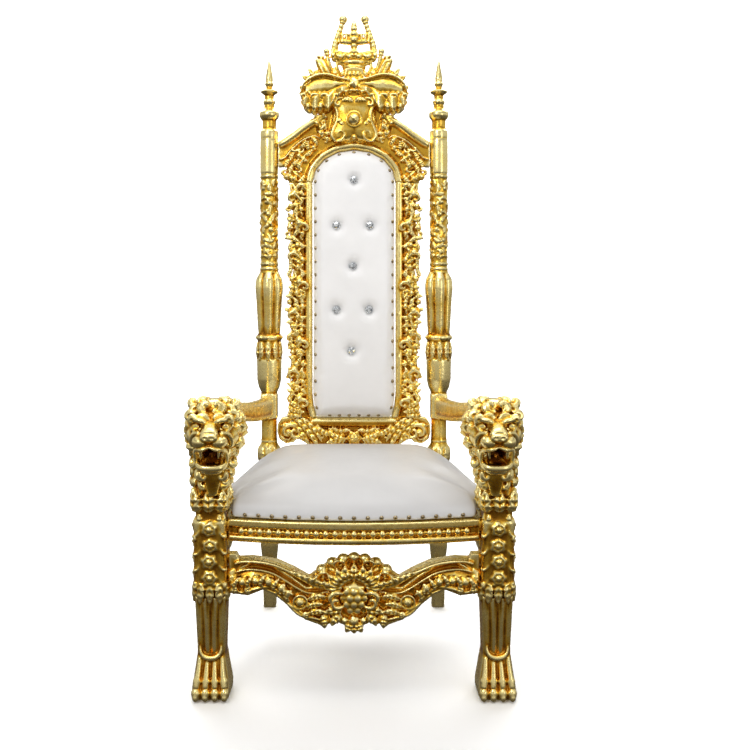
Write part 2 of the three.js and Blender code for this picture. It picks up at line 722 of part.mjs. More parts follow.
// one lobe of the mantle: arched rim, smooth drape, then pleats with a scalloped hem
function mantleLobe() {
  const rows = [[16, 0.6, 0.53], [36, 0.61, 0.52], [56, 0.625, 0.49], [76, 0.635, 0.41], [96, 0.63, 0.44],
    [116, 0.615, 0.41], [134, 0.59, 0.44], [149, 0.565, 0.44], [160, 0.54, 0.49]]
  const rings = rows.map(([x, top, hem], i) => {
    const pleat = i % 2 ? 1 : 0
    const height = top - hem
    const end = x > 155 ? 0.6 : 1
    return [[top, -14], [top, 26 * end], [top - 0.12 * height, 18 * end], [top - 0.42 * height, 20 * end],
      [top - 0.6 * height, (26 + 10 * pleat) * end], [hem + 0.08 * height, (28 + 12 * pleat) * end], [hem, 18 + 8 * pleat],
      [hem + 0.04, -14]].map(([share, rise]) => onCrest(x, share, rise))
  })
  return loft(rings)
}

function mantlePieces() {
  const side = [
    mantleLobe(),
    leaf(onCrest(112, 0.59, 0), onCrest(158, 0.625, 0), 16, 14),
    leaf(onCrest(104, 0.6, 0), onCrest(140, 0.665, 0), 16, 14),
    sweep([onCrest(74, 0.6, 2), onCrest(88, 0.67, 4), onCrest(100, 0.745, 2), onCrest(112, 0.752, 2)],
      [24, 26, 20, 11], [20, 22, 18, 10], outFront),
    sweep([onCrest(62, 0.6, 2), onCrest(72, 0.66, 3), onCrest(84, 0.785, 2)], [16, 12, 8], [16, 12, 10], outFront),
    ellipsoid(onCrest(84, 0.785, 2), [8, 8, 8], 5, 3),
    sweep([onCrest(28, 0.695, 6), onCrest(50, 0.715, 6), onCrest(70, 0.745, 6)], [8, 7, 6], [10, 9, 8], outFront)
  ]
  const centre = board(bothHalves([[0, 0.5], [22, 0.52], [30, 0.6], [26, 0.67], [0, 0.68]].map(([x, s]) => [x, crestZ(s)])),
    boardFront - 22, boardFront + 12)
  return [centre, rose(onCrest(0, 0.585, 21), 20, 10), ...side, ...side.map(mirrored)]
}

function crownPieces() {
  const band = loft([[0.655, 1], [0.672, 0.92], [0.7, 0.92], [0.72, 1.04]].map(([share, size]) =>
    ringAt(crestZ(share), 34 * size, 8, round, [0, boardFront + 4], 0.6)))
  const pieces = [band, board(bothHalves([[0, 0.71], [40, 0.71], [60, 0.745], [56, 0.78], [26, 0.765], [0, 0.775]]
    .map(([x, s]) => [x, crestZ(s)])), boardFront - 12, boardFront + 12)]
  for (const x of [-42, -14, 14, 42]) {
    pieces.push(stud(onCrest(x, 0.744, 11), 11, 9, outFront, 4))
  }
  const rod = sweep([onCrest(56, 0.75, -4), onCrest(54, 0.82, -2), onCrest(47, 0.87, -2), onCrest(40, 0.92, -2),
    onCrest(34, 0.965, -2)], [15, 16, 17, 15, 13], [15, 16, 17, 15, 13], outFront)
  const ball = ellipsoid(vec(32, boardFront + 2, crestTop - 13), [13, 13, 13], 6, 4)
  const swag = sweep([onCrest(48, 0.865, -2), onCrest(24, 0.85, -2), onCrest(0, 0.845, -2)], [12, 12, 12], [10, 10, 10], outFront)
  const drop = leaf(onCrest(22, 0.85, -2), onCrest(20, 0.895, -2), 16, 14)
  const side = [rod, ball, swag, drop]
  pieces.push(...side, ...side.map(mirrored))
  pieces.push(sweep([onCrest(0, 0.75, -2), onCrest(0, 0.83, -2), onCrest(0, 0.9, -2), onCrest(0, 0.94, -2), onCrest(0, 0.98, -2)],
    [18, 15, 20, 14, 0], [18, 16, 18, 12, 0], outFront))
  return pieces
}

function crestRail() {
  const side = [...archRibs(), ...pocketLeaves()]
  const pieces = [archBoard(), moulding(archStations(0.4, archSteps), plainProfile), ...side, ...side.map(mirrored),
    ...shieldPieces(), ...mantlePieces(), ...crownPieces()]
  return leaned(geometryOf(clippedLevel(joined(pieces), crestFoot, crestTop)))
}

// back pad with a sloping edge, a flat front and dimples for the buttons

const buttonPlaces = [[0, 0.885], [-0.42, 0.715], [0.38, 0.715], [-0.03, 0.565], [-0.42, 0.403], [0.36, 0.403], [-0.06, 0.25]]
const padHeight = panelSpring + archRise - panelFoot
const dimpleDepth = 9
const padFront = boardFront - padRise

function padRing(inset, y) {
  const ring = []
  const foot = panelFoot + joint + inset
  const sides = [foot, foot + 0.4 * waist, foot + waist, panelSpring]
  sides.forEach((z) => ring.push(vec(panelHalfAt(z) - joint - inset, y, z)))
  for (let i = 1; i < archSteps; i += 1) {
    const angle = (Math.PI * i) / archSteps
    ring.push(vec(Math.cos(angle) * (panelHalf - joint - inset), y, panelSpring + Math.sin(angle) * (archRise - joint - inset)))
  }
  sides.reverse().forEach((z) => ring.push(vec(-panelHalfAt(z) + joint + inset, y, z)))
  return ring
}

function buttonCentre([x, share]) {
  return vec(x * panelHalf, padFront + dimpleDepth, panelFoot + share * padHeight)
}

function roundFacing(centre, reach, y, sides) {
  const ring = []
  for (let s = 0; s < sides; s += 1) {
    const angle = ((s + 0.5) / sides) * Math.PI * 2
    ring.push(vec(centre.x + reach * Math.cos(angle), y, centre.z + reach * Math.sin(angle)))
  }
  return ring
}

function backPad() {
  const body = loft([padRing(1, boardFront + boardThickness - 2), padRing(0.5, boardFront - 4), padRing(14, padFront + 8),
    padRing(26, padFront)])
  let pad = solidOf(body)
  buttonPlaces.forEach((place) => {
    const centre = buttonCentre(place)
    pad = pad.subtract(solidOf(loft([
      roundFacing(centre, buttonRadius + 1, centre.y, 6), roundFacing(centre, 2.3 * buttonRadius, padFront - 0.5, 6)
    ])))
  })
  return leaned(geometryOf(pad))
}

function crystalButton(place) {
  const centre = buttonCentre(place)
  return leaned(loft([
    roundFacing(centre, 0.8 * buttonRadius, centre.y - joint, 6),
    roundFacing(centre, buttonRadius, centre.y - 4, 6),
    roundFacing(centre, 0.55 * buttonRadius, centre.y - 9, 6)
  ]))
}

// seat cushion over the rails, notched round the front legs

function cushionRing(inset, z) {
  const front = frontY - 14 + inset
  const inner = legX - cuffHalf - 1 - inset
  const legBack = frontY + cuffHalf + 1 + inset
  const wide = legX - 8 - inset
  const rear = rearY - rearLegWidth / 2 - 6 - inset
  const rearHalf = postX + 20 - inset
  const half = [[0, front - frontBow], [0.5 * inner, front - 0.75 * frontBow], [inner, front], [inner, legBack],
    [wide, legBack], [(wide + rearHalf) / 2, (legBack + rear) / 2], [rearHalf, rear], [0.5 * rearHalf, rear]]
  const right = half.map(([x, y]) => vec(x, y, z))
  const left = half.slice(1).map(([x, y]) => vec(-x, y, z)).reverse()
  return [...right, vec(0, rear, z), ...left]
}

function seatCushion() {
  const foot = railTop + joint
  const rows = [[3, 0], [0, 0.14], [2, 0.36], [14, 0.55], [44, 0.71], [100, 0.86], [190, 0.96]]
  return loft([...rows.map(([inset, share]) => cushionRing(inset, foot + share * cushionRise)),
    [vec(0, 0, foot + cushionRise)]])
}

// materials and the finished model

const finishes = {
  gold: { color: 0xd4a017, roughness: 0.3, metalness: 0.9 },
  leather: { color: 0xf0eeec, roughness: 0.55, metalness: 0 },
  crystal: { color: 0xdfe6ea, roughness: 0.05, metalness: 0.2 }
}

const throne = new THREE.Group()

function addNode(name, geometry, finish) {
  const mesh = new THREE.Mesh(geometry, new THREE.MeshStandardMaterial(finishes[finish]))
  mesh.name = name
  throne.add(mesh)
}

function addPair(name, geometry, finish) {
  addNode(`${name}_right`, geometry, finish)
  addNode(`${name}_left`, mirrored(geometry), finish)
}

addPair('rear_post', rearPost(), 'gold')
addPair('front_leg', frontLeg(), 'gold')
addPair('arm', arm(), 'gold')
addPair('side_rail', sideRail(), 'gold')
addPair('back_stile', backStile(), 'gold')
addNode('front_rail', frontRail(), 'gold')
addNode('back_rail', backRail(), 'gold')
addNode('front_apron', apron(), 'gold')
addNode('back_lower_rail', lowerRail(), 'gold')
addNode('crest_rail', crestRail(), 'gold')
addNode('back_pad', backPad(), 'leather')
addNode('seat_cushion', seatCushion(), 'leather')
buttonPlaces.forEach((place, i) => addNode(`crystal_button_${i + 1}`, crystalButton(place), 'crystal'))

// the middle of the footprint of the whole throne is the origin
const bounds = new THREE.Box3().setFromObject(throne)
throne.children.forEach((mesh) => mesh.geometry.translate(0, -(bounds.min.y + bounds.max.y) / 2, 0))

export default throne
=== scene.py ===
import math
import random

import bpy
import numpy as np
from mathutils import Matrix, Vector
from mathutils.bvhtree import BVHTree


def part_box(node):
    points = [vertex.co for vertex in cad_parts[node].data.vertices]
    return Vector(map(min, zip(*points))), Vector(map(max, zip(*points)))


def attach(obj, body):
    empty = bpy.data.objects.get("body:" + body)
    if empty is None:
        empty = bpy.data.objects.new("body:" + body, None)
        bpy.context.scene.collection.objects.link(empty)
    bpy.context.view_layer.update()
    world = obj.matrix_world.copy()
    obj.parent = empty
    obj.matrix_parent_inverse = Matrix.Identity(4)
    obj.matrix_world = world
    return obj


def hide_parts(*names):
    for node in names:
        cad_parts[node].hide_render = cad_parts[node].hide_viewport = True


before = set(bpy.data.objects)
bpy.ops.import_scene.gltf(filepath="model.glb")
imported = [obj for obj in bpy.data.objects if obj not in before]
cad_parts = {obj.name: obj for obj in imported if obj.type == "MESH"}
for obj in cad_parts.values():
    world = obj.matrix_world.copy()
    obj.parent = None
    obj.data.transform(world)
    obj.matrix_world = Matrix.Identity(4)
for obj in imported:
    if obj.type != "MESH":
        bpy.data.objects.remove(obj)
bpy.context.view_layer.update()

# carving is worked out upright in millimetres: x to the right, y away from the viewer, z up
LEG_X = 352.0
POST_X = 258.0
SEAT_HALF_DEPTH = 272.5
FRONT_Y = -SEAT_HALF_DEPTH
REAR_Y = SEAT_HALF_DEPTH
RAIL_TOP = 443.0
RAIL_BOTTOM = 387.0
LEAN_PIVOT = 430.0
BACK_LEAN = math.radians(4.2)
BOARD_FRONT = REAR_Y - 17.0
PANEL_HALF = 125.5
PANEL_FOOT = 586.0
LOWER_TOP = PANEL_FOOT - 0.2
PANEL_SPRING = 1297.0
ARCH_RISE = 98.0
PLAIN_MOULDING = 23.0
CREST_TOP = 1804.0
CREST_HEIGHT = CREST_TOP - PANEL_SPRING
POST_TOP = 1668.0
POST_RADIUS = 26.5
BLOCK_TOP = 654.0
BLOCK_FOOT = 584.0
COLUMN_HALF = 43.5
COLUMN_TOP = RAIL_TOP + 16.0
COLUMN_FOOT = 0.635 * RAIL_TOP
HEAD = 176.0
HEAD_CENTRE = np.array([-13.0, -14.0, COLUMN_TOP + 1.16 * HEAD])
MANE_BACK = 0.36 * HEAD
APRON_HALF = 308.2
APRON_TOP = 356.0
APRON_DROP = 199.0
APRON_FACE = FRONT_Y - 17.0
SHELL_HUB = 0.42
SHELL_WIDE = 105.0
SHELL_TALL = 81.0
RAIL_HALF = 308.2
FRONT_BOW = 35.0
BEAD_PITCH = 23.0
BEAD_Z = 414.5
ARM_REAR_Z = 619.0
PAD_RISE = 30.0
SEAT_RISE = 0.12
NAIL_RADIUS = 5.8
NAIL_RISE = 5.2
NAIL_INSET = 10.0
BACK_NAIL_PITCH = 40.0
SEAT_NAIL_PITCH = 33.4
BUTTON_PLACES = [(0, 0.885), (-0.42, 0.715), (0.38, 0.715), (-0.03, 0.565), (-0.42, 0.403), (0.36, 0.403),
                 (-0.06, 0.25)]

# the model is centred in depth, so its y differs from the drawing's by one step
Y_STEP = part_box("back_rail")[1].y * 1000 - (REAR_Y - 6.0)

FRONT = np.array([0.0, -1.0, 0.0])
UP = np.array([0.0, 0.0, 1.0])
COARSE = 1.0

# how far a point stands out, in metres, to get the full painted highlight, and the painted shade of the
# deepest hollows
FULL_HIGHLIGHT_RELIEF = 0.0016
HOLLOW_PAINTED_SHADE = -1.15

# the most triangles of each carved piece
POST_MOST = 55000
LEG_MOST = 112000
STILE_MOST = 62000
CREST_MOST = 160000
LOWER_MOST = 46000
RAIL_MOST = 38000
APRON_MOST = 95000
ARM_MOST = 9000
PLAIN_MOST = 4000


def unit(vectors):
    vectors = np.asarray(vectors, float)
    return vectors / np.maximum(np.linalg.norm(vectors, axis=-1, keepdims=True), 1e-9)


def spread(values, count):
    """Values spread evenly over so many places."""
    return np.interp(np.linspace(0, 1, count), np.linspace(0, 1, len(values)), values)


def curve(points, count):
    """Points on a smooth curve through the given ones."""
    points = np.asarray(points, float)
    spans = len(points) - 1
    padded = np.vstack([2 * points[0] - points[1], points, 2 * points[-1] - points[-2]])
    at = np.linspace(0, spans, count)
    i = np.minimum(at.astype(int), spans - 1)
    t = (at - i)[:, None]
    a, b, c, d = (padded[i + k] for k in range(4))
    return 0.5 * (2 * b + (c - a) * t + (2 * a - 5 * b + 4 * c - d) * t**2 + (3 * b - a - 3 * c + d) * t**3)


def skin(rings):
    """A closed skin over rings of equally many points, as points and triangles."""
    rings = np.asarray(rings, float)
    count, sides = rings.shape[:2]
    points = np.vstack([rings.reshape(-1, 3), rings[0].mean(0), rings[-1].mean(0)])
    start = np.arange(count - 1)[:, None] * sides
    here = np.arange(sides)[None]
    after = (here + 1) % sides
    a, b = start + here, start + after
    c, d = b + sides, a + sides
    walls = [np.stack([a, b, c], -1).reshape(-1, 3), np.stack([a, c, d], -1).reshape(-1, 3)]
    first, last = count * sides, count * sides + 1
    top = (count - 1) * sides
    ends = [
        np.stack([np.full(sides, first), after[0], here[0]], -1),
        np.stack([np.full(sides, last), top + here[0], top + after[0]], -1),
    ]
    return points, np.vstack(walls + ends)


def mirrored(piece):
    points, faces = piece
    return points * np.array([-1.0, 1.0, 1.0]), faces[:, ::-1]


def moved(piece, step):
    return piece[0] + np.asarray(step, float), piece[1]


def both(pieces):
    return [*pieces, *(mirrored(p) for p in pieces)]


def merged(pieces):
    offset, points, faces = 0, [], []
    for p, f in pieces:
        points.append(p)
        faces.append(f + offset)
        offset += len(p)
    return np.vstack(points), np.vstack(faces)


def full_turn(sides):
    """Evenly spread angles once round."""
    return np.arange(sides) / sides * 2 * math.pi


def between(rows, at):
    """The later columns of a table, read off between its rows where the first column has the given values."""
    first, *others = zip(*rows)
    return [np.interp(at, first, column) for column in others]


def outline(sides, shape=lambda a: 1.0):
    angle = full_turn(sides)
    return np.stack([np.cos(angle) * shape(angle), np.sin(angle) * shape(angle)], -1)


ROUND = outline(14)
STRANDS = outline(24, lambda a: 1 + 0.16 * np.cos(6 * a))


def sweep(path, widths, depths, outward=FRONT, section=ROUND, count=24):
    """A tapering stem, moulding or lock of hair along a path; its ridge faces outward."""
    spine = curve(path, count)
    along = unit(np.gradient(spine, axis=0))
    side = unit(np.cross(along, outward))
    ridge = np.cross(side, along)
    wide = spread(widths, count)[:, None, None] / 2
    deep = spread(depths, count)[:, None, None] / 2
    across = side[:, None] * wide * section[None, :, :1]
    return skin(spine[:, None] + across + ridge[:, None] * deep * section[None, :, 1:])


def acanthus(path, width, depth, lobes=4, outward=FRONT):
    """A carved leaf with forward lobes, slanting veins and a grooved midrib."""
    count = 11 * lobes + 1
    t = np.linspace(0, 1, count)[:, None]
    u = np.linspace(-1, 1, 15)[None]
    phase = (t * lobes) % 1
    shape = np.sin(math.pi * (0.16 + 0.84 * t)) ** 0.75 * (0.64 + 0.36 * phase**0.7)
    veins = 0.84 + 0.16 * np.cos(2 * math.pi * (t * lobes - 0.55 * np.abs(u) + 0.35))
    rib = 0.3 * np.exp(-((u / 0.14) ** 2))
    top = (0.5 + 0.5 * (1 - u * u)) * veins - rib
    fade = np.sin(math.pi * (0.2 + 0.8 * t)) ** 0.5
    spine = curve(path, count)
    along = unit(np.gradient(spine, axis=0))
    side = unit(np.cross(along, outward))[:, None]
    ridge = np.cross(side[:, 0], along)[:, None]
    upper = spine[:, None] + side * (u * shape)[..., None] * width / 2
    upper = upper + ridge * (top * fade)[..., None] * depth
    lower = spine[:, None] + side * (u * shape)[..., None] * width / 2.2 - ridge * depth * 0.35
    return skin(np.concatenate([upper, lower[:, ::-1]], axis=1))


def leaf(start, end, width, depth, bend=0.0, lobes=3, lift=0.0, outward=FRONT):
    """A leaf from one point to another, bent sideways, with its tip lifted off the ground."""
    start, end = np.asarray(start, float), np.asarray(end, float)
    outward = np.asarray(outward, float)
    across = unit(np.cross(end - start, outward))
    t = np.linspace(0, 1, 5)[:, None]
    path = start + (end - start) * t + across * bend * 4 * t * (1 - t) + outward * lift * t**2
    return acanthus(path, width, depth, lobes, outward)


def leaves(on, rows):
    """Leaves on a surface; a row holds the root's and the tip's place on it and the leaf's measures."""
    return [leaf(on(*root), on(*tip), *measures) for root, tip, *measures in rows]


def curl(start, direction, length, width, depth=None, hand=1, turns=0.7, outward=FRONT, section=STRANDS,
         lift=0.0):
    """A comma-shaped lock or scroll end: it sets off along the direction and winds up to one side."""
    outward = unit(outward)
    ahead = unit(np.asarray(direction, float) - outward * np.dot(direction, outward))
    side = np.cross(ahead, outward) * hand
    t = np.linspace(0, 1, 22)
    angle = turns * 2 * math.pi * t**1.6
    step = length / 22 * (1.25 - 0.75 * t)
    x, y = np.cumsum(np.cos(angle) * step), np.cumsum(np.sin(angle) * step)
    path = np.asarray(start, float) + ahead * x[:, None] + side * y[:, None]
    path = path + outward * (lift * np.sin(math.pi * t))[:, None]
    widths = np.array([0.55, 0.9, 1.0, 0.95, 0.8, 0.6, 0.45]) * width
    depths = widths * ((depth or width) / width)
    return sweep(path, widths, depths, outward, section, 26)


def ball(centre, radii, sides=20, bands=12):
    polar = np.linspace(0.02, math.pi - 0.02, bands)[:, None]
    angle = full_turn(sides)[None]
    radii = np.broadcast_to(np.asarray(radii, float), 3)
    shape = np.stack([np.sin(polar) * np.cos(angle), np.sin(polar) * np.sin(angle),
                      -np.cos(polar) + 0 * angle], -1)
    return skin(np.asarray(centre, float) + shape * radii)


def hoop(centre, across, radius, width, depth, outward=FRONT, corners=25, count=60):
    """A round moulding that stands upright round its centre."""
    turn = np.linspace(0, 2 * math.pi, corners)[:, None]
    path = centre + radius * (np.asarray(across, float) * np.cos(turn) + UP * np.sin(turn))
    return sweep(path, [width] * 3, [depth] * 3, outward, count=count)


def axes_for(outward):
    outward = unit(outward)
    across = unit(np.cross(outward, UP))
    return across, np.cross(across, outward), outward


def flower(centre, radius, height, outward=FRONT, petals=5, layers=2, turn=0.0, heart=0.24):
    """A rosette: layers of petals over each other round a raised heart."""
    across, up, out = axes_for(outward)
    angle = full_turn(12 * petals)[None]
    reach = np.linspace(1, 0.02, 15)[:, None]
    rim = 0.76 + 0.24 * np.abs(np.cos(petals * angle / 2 + turn))
    rise = np.zeros_like(reach * angle)
    for layer in range(layers):
        size = 1 - 0.62 * layer / layers
        phase = np.abs(np.cos(petals * angle / 2 + turn + layer * math.pi / 2))
        edge = size * (0.76 + 0.24 * phase) / rim
        body = np.sqrt(np.clip(1 - (reach / edge) ** 5, 0, 1))
        cupped = 0.5 + 0.24 * layer + 0.2 * (reach / edge) ** 2
        rise = np.maximum(rise, body * cupped * (0.7 + 0.3 * phase))
    rise = np.maximum(rise, 1.05 * np.sqrt(np.clip(1 - (reach / heart) ** 2, 0, 1)))
    flat = reach * rim * radius
    points = np.asarray(centre, float) + across * (flat * np.cos(angle))[..., None]
    points = points + up * (flat * np.sin(angle))[..., None] + out * (rise * height)[..., None]
    return skin(np.concatenate([points[:1] - out * 0.45 * height, points]))


def stud(centre, radius, height, outward=FRONT, sides=14):
    across, up, out = axes_for(outward)
    angle = full_turn(sides)[:, None]
    circle = across * np.cos(angle) + up * np.sin(angle)
    rows = [(1.0, -0.4), (1.0, 0.0), (0.92, 0.38), (0.71, 0.7), (0.38, 0.92), (0.05, 1.0)]
    return skin([np.asarray(centre, float) + circle * radius * r + out * height * h for r, h in rows])


def turned(rows, shape, centre=(0.0, 0.0), sides=96, step=1.6, soften=1.6):
    """A turned and carved shaft: rows hold height and radius, shape gives a share of the radius."""
    heights, radii = (np.array(column, float) for column in zip(*rows))
    count = int((heights[-1] - heights[0]) / step)
    z = np.linspace(heights[0], heights[-1], count)
    radius = np.interp(z, heights, radii)
    window = np.exp(-((np.arange(-4, 5) * step / soften) ** 2) / 2)
    radius = np.convolve(np.pad(radius, 4, mode="edge"), window / window.sum(), mode="valid")
    angle = np.arange(sides) / sides * 2 * math.pi
    reach = radius[:, None] * shape(angle[None], z[:, None])
    x = centre[0] + reach * np.cos(angle)
    y = centre[1] + reach * np.sin(angle)
    return skin(np.stack([x, y, np.broadcast_to(z[:, None], x.shape)], -1))


def squarish(angle, power=6):
    """The reach of a rounded square of half width one."""
    return (np.abs(np.cos(angle)) ** power + np.abs(np.sin(angle)) ** power) ** (-1 / power)


def foliage(spots, seed, reach, depth):
    """Small leaves, scrolls and flowers over each other; a spot is a place and the way out there."""
    dice = random.Random(seed)
    pieces = []
    for number, (spot, outward) in enumerate(spots):
        across, up, out = axes_for(outward)
        heading = dice.uniform(0, 2 * math.pi)
        ahead = across * math.cos(heading) + up * math.sin(heading)
        kind = number % 5
        if kind == 1:
            pieces.append(flower(spot, 0.7 * reach, depth, out, layers=3, turn=heading))
        elif kind == 3:
            hand = 1 if number % 2 else -1
            start = spot - ahead * 0.5 * reach
            scroll = curl(start, ahead, 2.9 * reach, 0.55 * reach, 0.9 * depth, hand, 0.95, out, ROUND, 2)
            pieces.append(scroll)
        else:
            start, end = spot - ahead * 0.75 * reach, spot + ahead * 1.05 * reach
            bend = 0.25 * reach * (1 if kind else -1)
            pieces.append(leaf(start, end, 1.15 * reach, 0.85 * depth, bend, 4, 2, out))
            pieces.append(stud(start + out * 0.3 * depth, 0.26 * reach, 0.5 * depth, out, 10))
    return pieces


def lean(points):
    """Leans all above the pivot back with the chair back."""
    points = points.copy()
    rise = points[:, 2] - LEAN_PIVOT
    deep = points[:, 1] - REAR_Y
    up = rise > 0
    points[up, 1] = REAR_Y + deep[up] * math.cos(BACK_LEAN) + rise[up] * math.sin(BACK_LEAN)
    points[up, 2] = LEAN_PIVOT + rise[up] * math.cos(BACK_LEAN) - deep[up] * math.sin(BACK_LEAN)
    return points


# meshes

def mesh_object(name, points, faces):
    """An object from points in millimetres of the drawing."""
    placed = (points + np.array([0.0, Y_STEP, 0.0])) / 1000
    mesh = bpy.data.meshes.new(name)
    mesh.from_pydata(placed.tolist(), [], faces.tolist())
    mesh.update()
    made = bpy.data.objects.new(name, mesh)
    bpy.context.scene.collection.objects.link(made)
    return made


def node_mesh(node):
    """A CAD node's own points, in millimetres of the drawing, and its triangles."""
    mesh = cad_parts[node].data
    mesh.calc_loop_triangles()
    points = np.zeros(len(mesh.vertices) * 3)
    mesh.vertices.foreach_get("co", points)
    faces = np.zeros(len(mesh.loop_triangles) * 3, int)
    mesh.loop_triangles.foreach_get("vertices", faces)
    points = points.reshape(-1, 3) * 1000 - np.array([0.0, Y_STEP, 0.0])
    return points, faces.reshape(-1, 3)


def applied(made):
    """Replaces the object's mesh by the one that its modifiers make."""
    graph = bpy.context.evaluated_depsgraph_get()
    graph.update()
    mesh = bpy.data.meshes.new_from_object(made.evaluated_get(graph), depsgraph=graph)
    made.modifiers.clear()
    old = made.data
    made.data = mesh
    bpy.data.meshes.remove(old)
    return made


def points_of(made):
    points = np.zeros(len(made.data.vertices) * 3)
    made.data.vertices.foreach_get("co", points)
    return points.reshape(-1, 3)


def set_points(made, points):
    made.data.vertices.foreach_set("co", points.astype(np.float32).ravel())
    made.data.update()


def store_painted_relief_shade(made, deepest_painted_shade, reach=14):
    """Keeps, for each point, how far it stands out of its surroundings, from minus the deepest painted shade
    to 1, as painted shade in the hollows and painted highlight on what stands out.
    """
    mesh = made.data
    points = points_of(made)
    normals = np.zeros(len(points) * 3)
    mesh.vertices.foreach_get("normal", normals)
    ends = np.zeros(len(mesh.edges) * 2, int)
    mesh.edges.foreach_get("vertices", ends)
    first, second = ends[0::2], ends[1::2]
    count = np.maximum(np.bincount(ends, minlength=len(points)), 1)
    smooth = points.copy()
    for _ in range(reach):
        for axis in range(3):
            total = np.bincount(first, smooth[second, axis], len(points))
            total += np.bincount(second, smooth[first, axis], len(points))
            smooth[:, axis] = total / count
    painted_relief_shade = ((points - smooth) * normals.reshape(-1, 3)).sum(1)
    value = np.clip(painted_relief_shade / FULL_HIGHLIGHT_RELIEF, -deepest_painted_shade, 1)
    mesh.attributes.new("painted_relief_shade", "FLOAT", "POINT").data.foreach_set("value", value.astype(np.float32))


def paint_shade_at(made, centre, reach, tone=HOLLOW_PAINTED_SHADE):
    """Paints shade on the points near a place, by default as dark as the painted shade of the deepest
    hollows.
    """
    kept = made.data.attributes["painted_relief_shade"].data
    value = np.zeros(len(kept), np.float32)
    kept.foreach_get("value", value)
    share = np.clip(2 - 2 * np.linalg.norm((points_of(made) * 1000 - centre) / reach, axis=1), 0, 1)
    kept.foreach_set("value", (value * (1 - share) + tone * share).astype(np.float32))


def carve(name, pieces, voxel, most, leaning=False, smooth=2, deepest_painted_shade=0.7):
    """Fuses all pieces into one carved body and thins it to the most triangles."""
    points, faces = merged(pieces)
    if leaning:
        points = lean(points)
    made = mesh_object(name, points, faces)
    fuse = made.modifiers.new("fuse", "REMESH")
    fuse.mode = "VOXEL"
    fuse.voxel_size = voxel * COARSE / 1000
    soft = made.modifiers.new("soft", "SMOOTH")
    soft.factor = 0.5
    soft.iterations = smooth
    applied(made)
    triangles = 2 * len(made.data.polygons)
    if triangles > most:
        thin = made.modifiers.new("thin", "DECIMATE")
        thin.ratio = most / triangles
        applied(made)
    made.data.shade_smooth()
    store_painted_relief_shade(made, deepest_painted_shade)
    print(name, "triangles", sum(len(p.vertices) - 2 for p in made.data.polygons))
    return made


def mirror_object(made, name):
    mesh = made.data.copy()
    copy = bpy.data.objects.new(name, mesh)
    bpy.context.scene.collection.objects.link(copy)
    points = points_of(copy)
    points[:, 0] *= -1
    set_points(copy, points)
    mesh.flip_normals()
    return copy


# rear posts

def post_z(share):
    return BLOCK_TOP + share * (POST_TOP - BLOCK_TOP)


def post_rows():
    rows = [(0, 19), (145, 21.5), (195, 26.5), (RAIL_TOP, 27), (447, 31), (462, 34), (478, 35), (492, 33),
            (503, 27), (508, 24), (514, 25.5), (520, 23.5), (BLOCK_FOOT - 4, 23), (BLOCK_FOOT - 2, 25.5),
            (BLOCK_TOP, 25.5)]
    shares = [(0.006, 0.9), (0.022, 1.2), (0.045, 1.38), (0.1, 1.42), (0.13, 1.3), (0.148, 1.38),
              (0.16, 1.25), (0.166, 1.5), (0.175, 1.5), (0.18, 1.28), (0.21, 1.38), (0.272, 1.5),
              (0.32, 1.66), (0.345, 1.56), (0.362, 1.2), (0.37, 0.98), (0.376, 1.12), (0.383, 0.9),
              (0.39, 1.1), (0.397, 0.95), (0.405, 0.97), (0.64, 0.97), (0.645, 0.9), (0.649, 1.06),
              (0.655, 1.06), (0.658, 0.92), (0.663, 1.04), (0.762, 1.04), (0.765, 0.95), (0.769, 1.04),
              (0.789, 1.04), (0.793, 0.84), (0.8, 0.78), (0.8215, 0.8), (0.827, 1.0), (0.834, 1.14),
              (0.845, 1.12), (0.852, 0.8), (0.858, 0.6), (0.868, 0.56), (0.874, 0.72), (0.879, 0.72),
              (0.884, 0.54), (0.897, 0.52), (0.902, 0.8), (0.9065, 1.08), (0.911, 0.9), (0.916, 0.38),
              (0.924, 0.34), (0.928, 0.52), (0.933, 0.52), (0.937, 0.38), (0.945, 0.44), (0.953, 0.42),
              (0.97, 0.3), (0.985, 0.21), (1.0, 0.13)]
    return rows + [(post_z(s), size * POST_RADIUS) for s, size in shares]


def post_shape(angle, z):
    """Square blocks, a lobed vase, and leaves below it and over the rail."""
    share = (z - BLOCK_TOP) / (POST_TOP - BLOCK_TOP)
    square = np.where((z < RAIL_TOP) | ((z > BLOCK_FOOT - 2) & (z < BLOCK_TOP)), squarish(angle, 8), 1.0)
    lobes = np.abs(np.cos(3 * (angle + math.pi / 2)))
    vase = np.where((share > 0.182) & (share < 0.364), 0.74 + 0.28 * lobes**0.55, 1.0)
    leaves = 1 + 0.06 * np.cos(8 * angle) * ((share > 0.105) & (share < 0.16))
    base = np.where((z > RAIL_TOP + 4) & (z < 496), 0.94 + 0.1 * np.abs(np.cos(4 * angle)), 1.0)
    return square * vase * leaves * base


def round_post(angle, z, lift=0.0):
    reach = 0.94 * POST_RADIUS + lift
    return np.array([POST_X + reach * math.sin(angle), REAR_Y - reach * math.cos(angle), z])


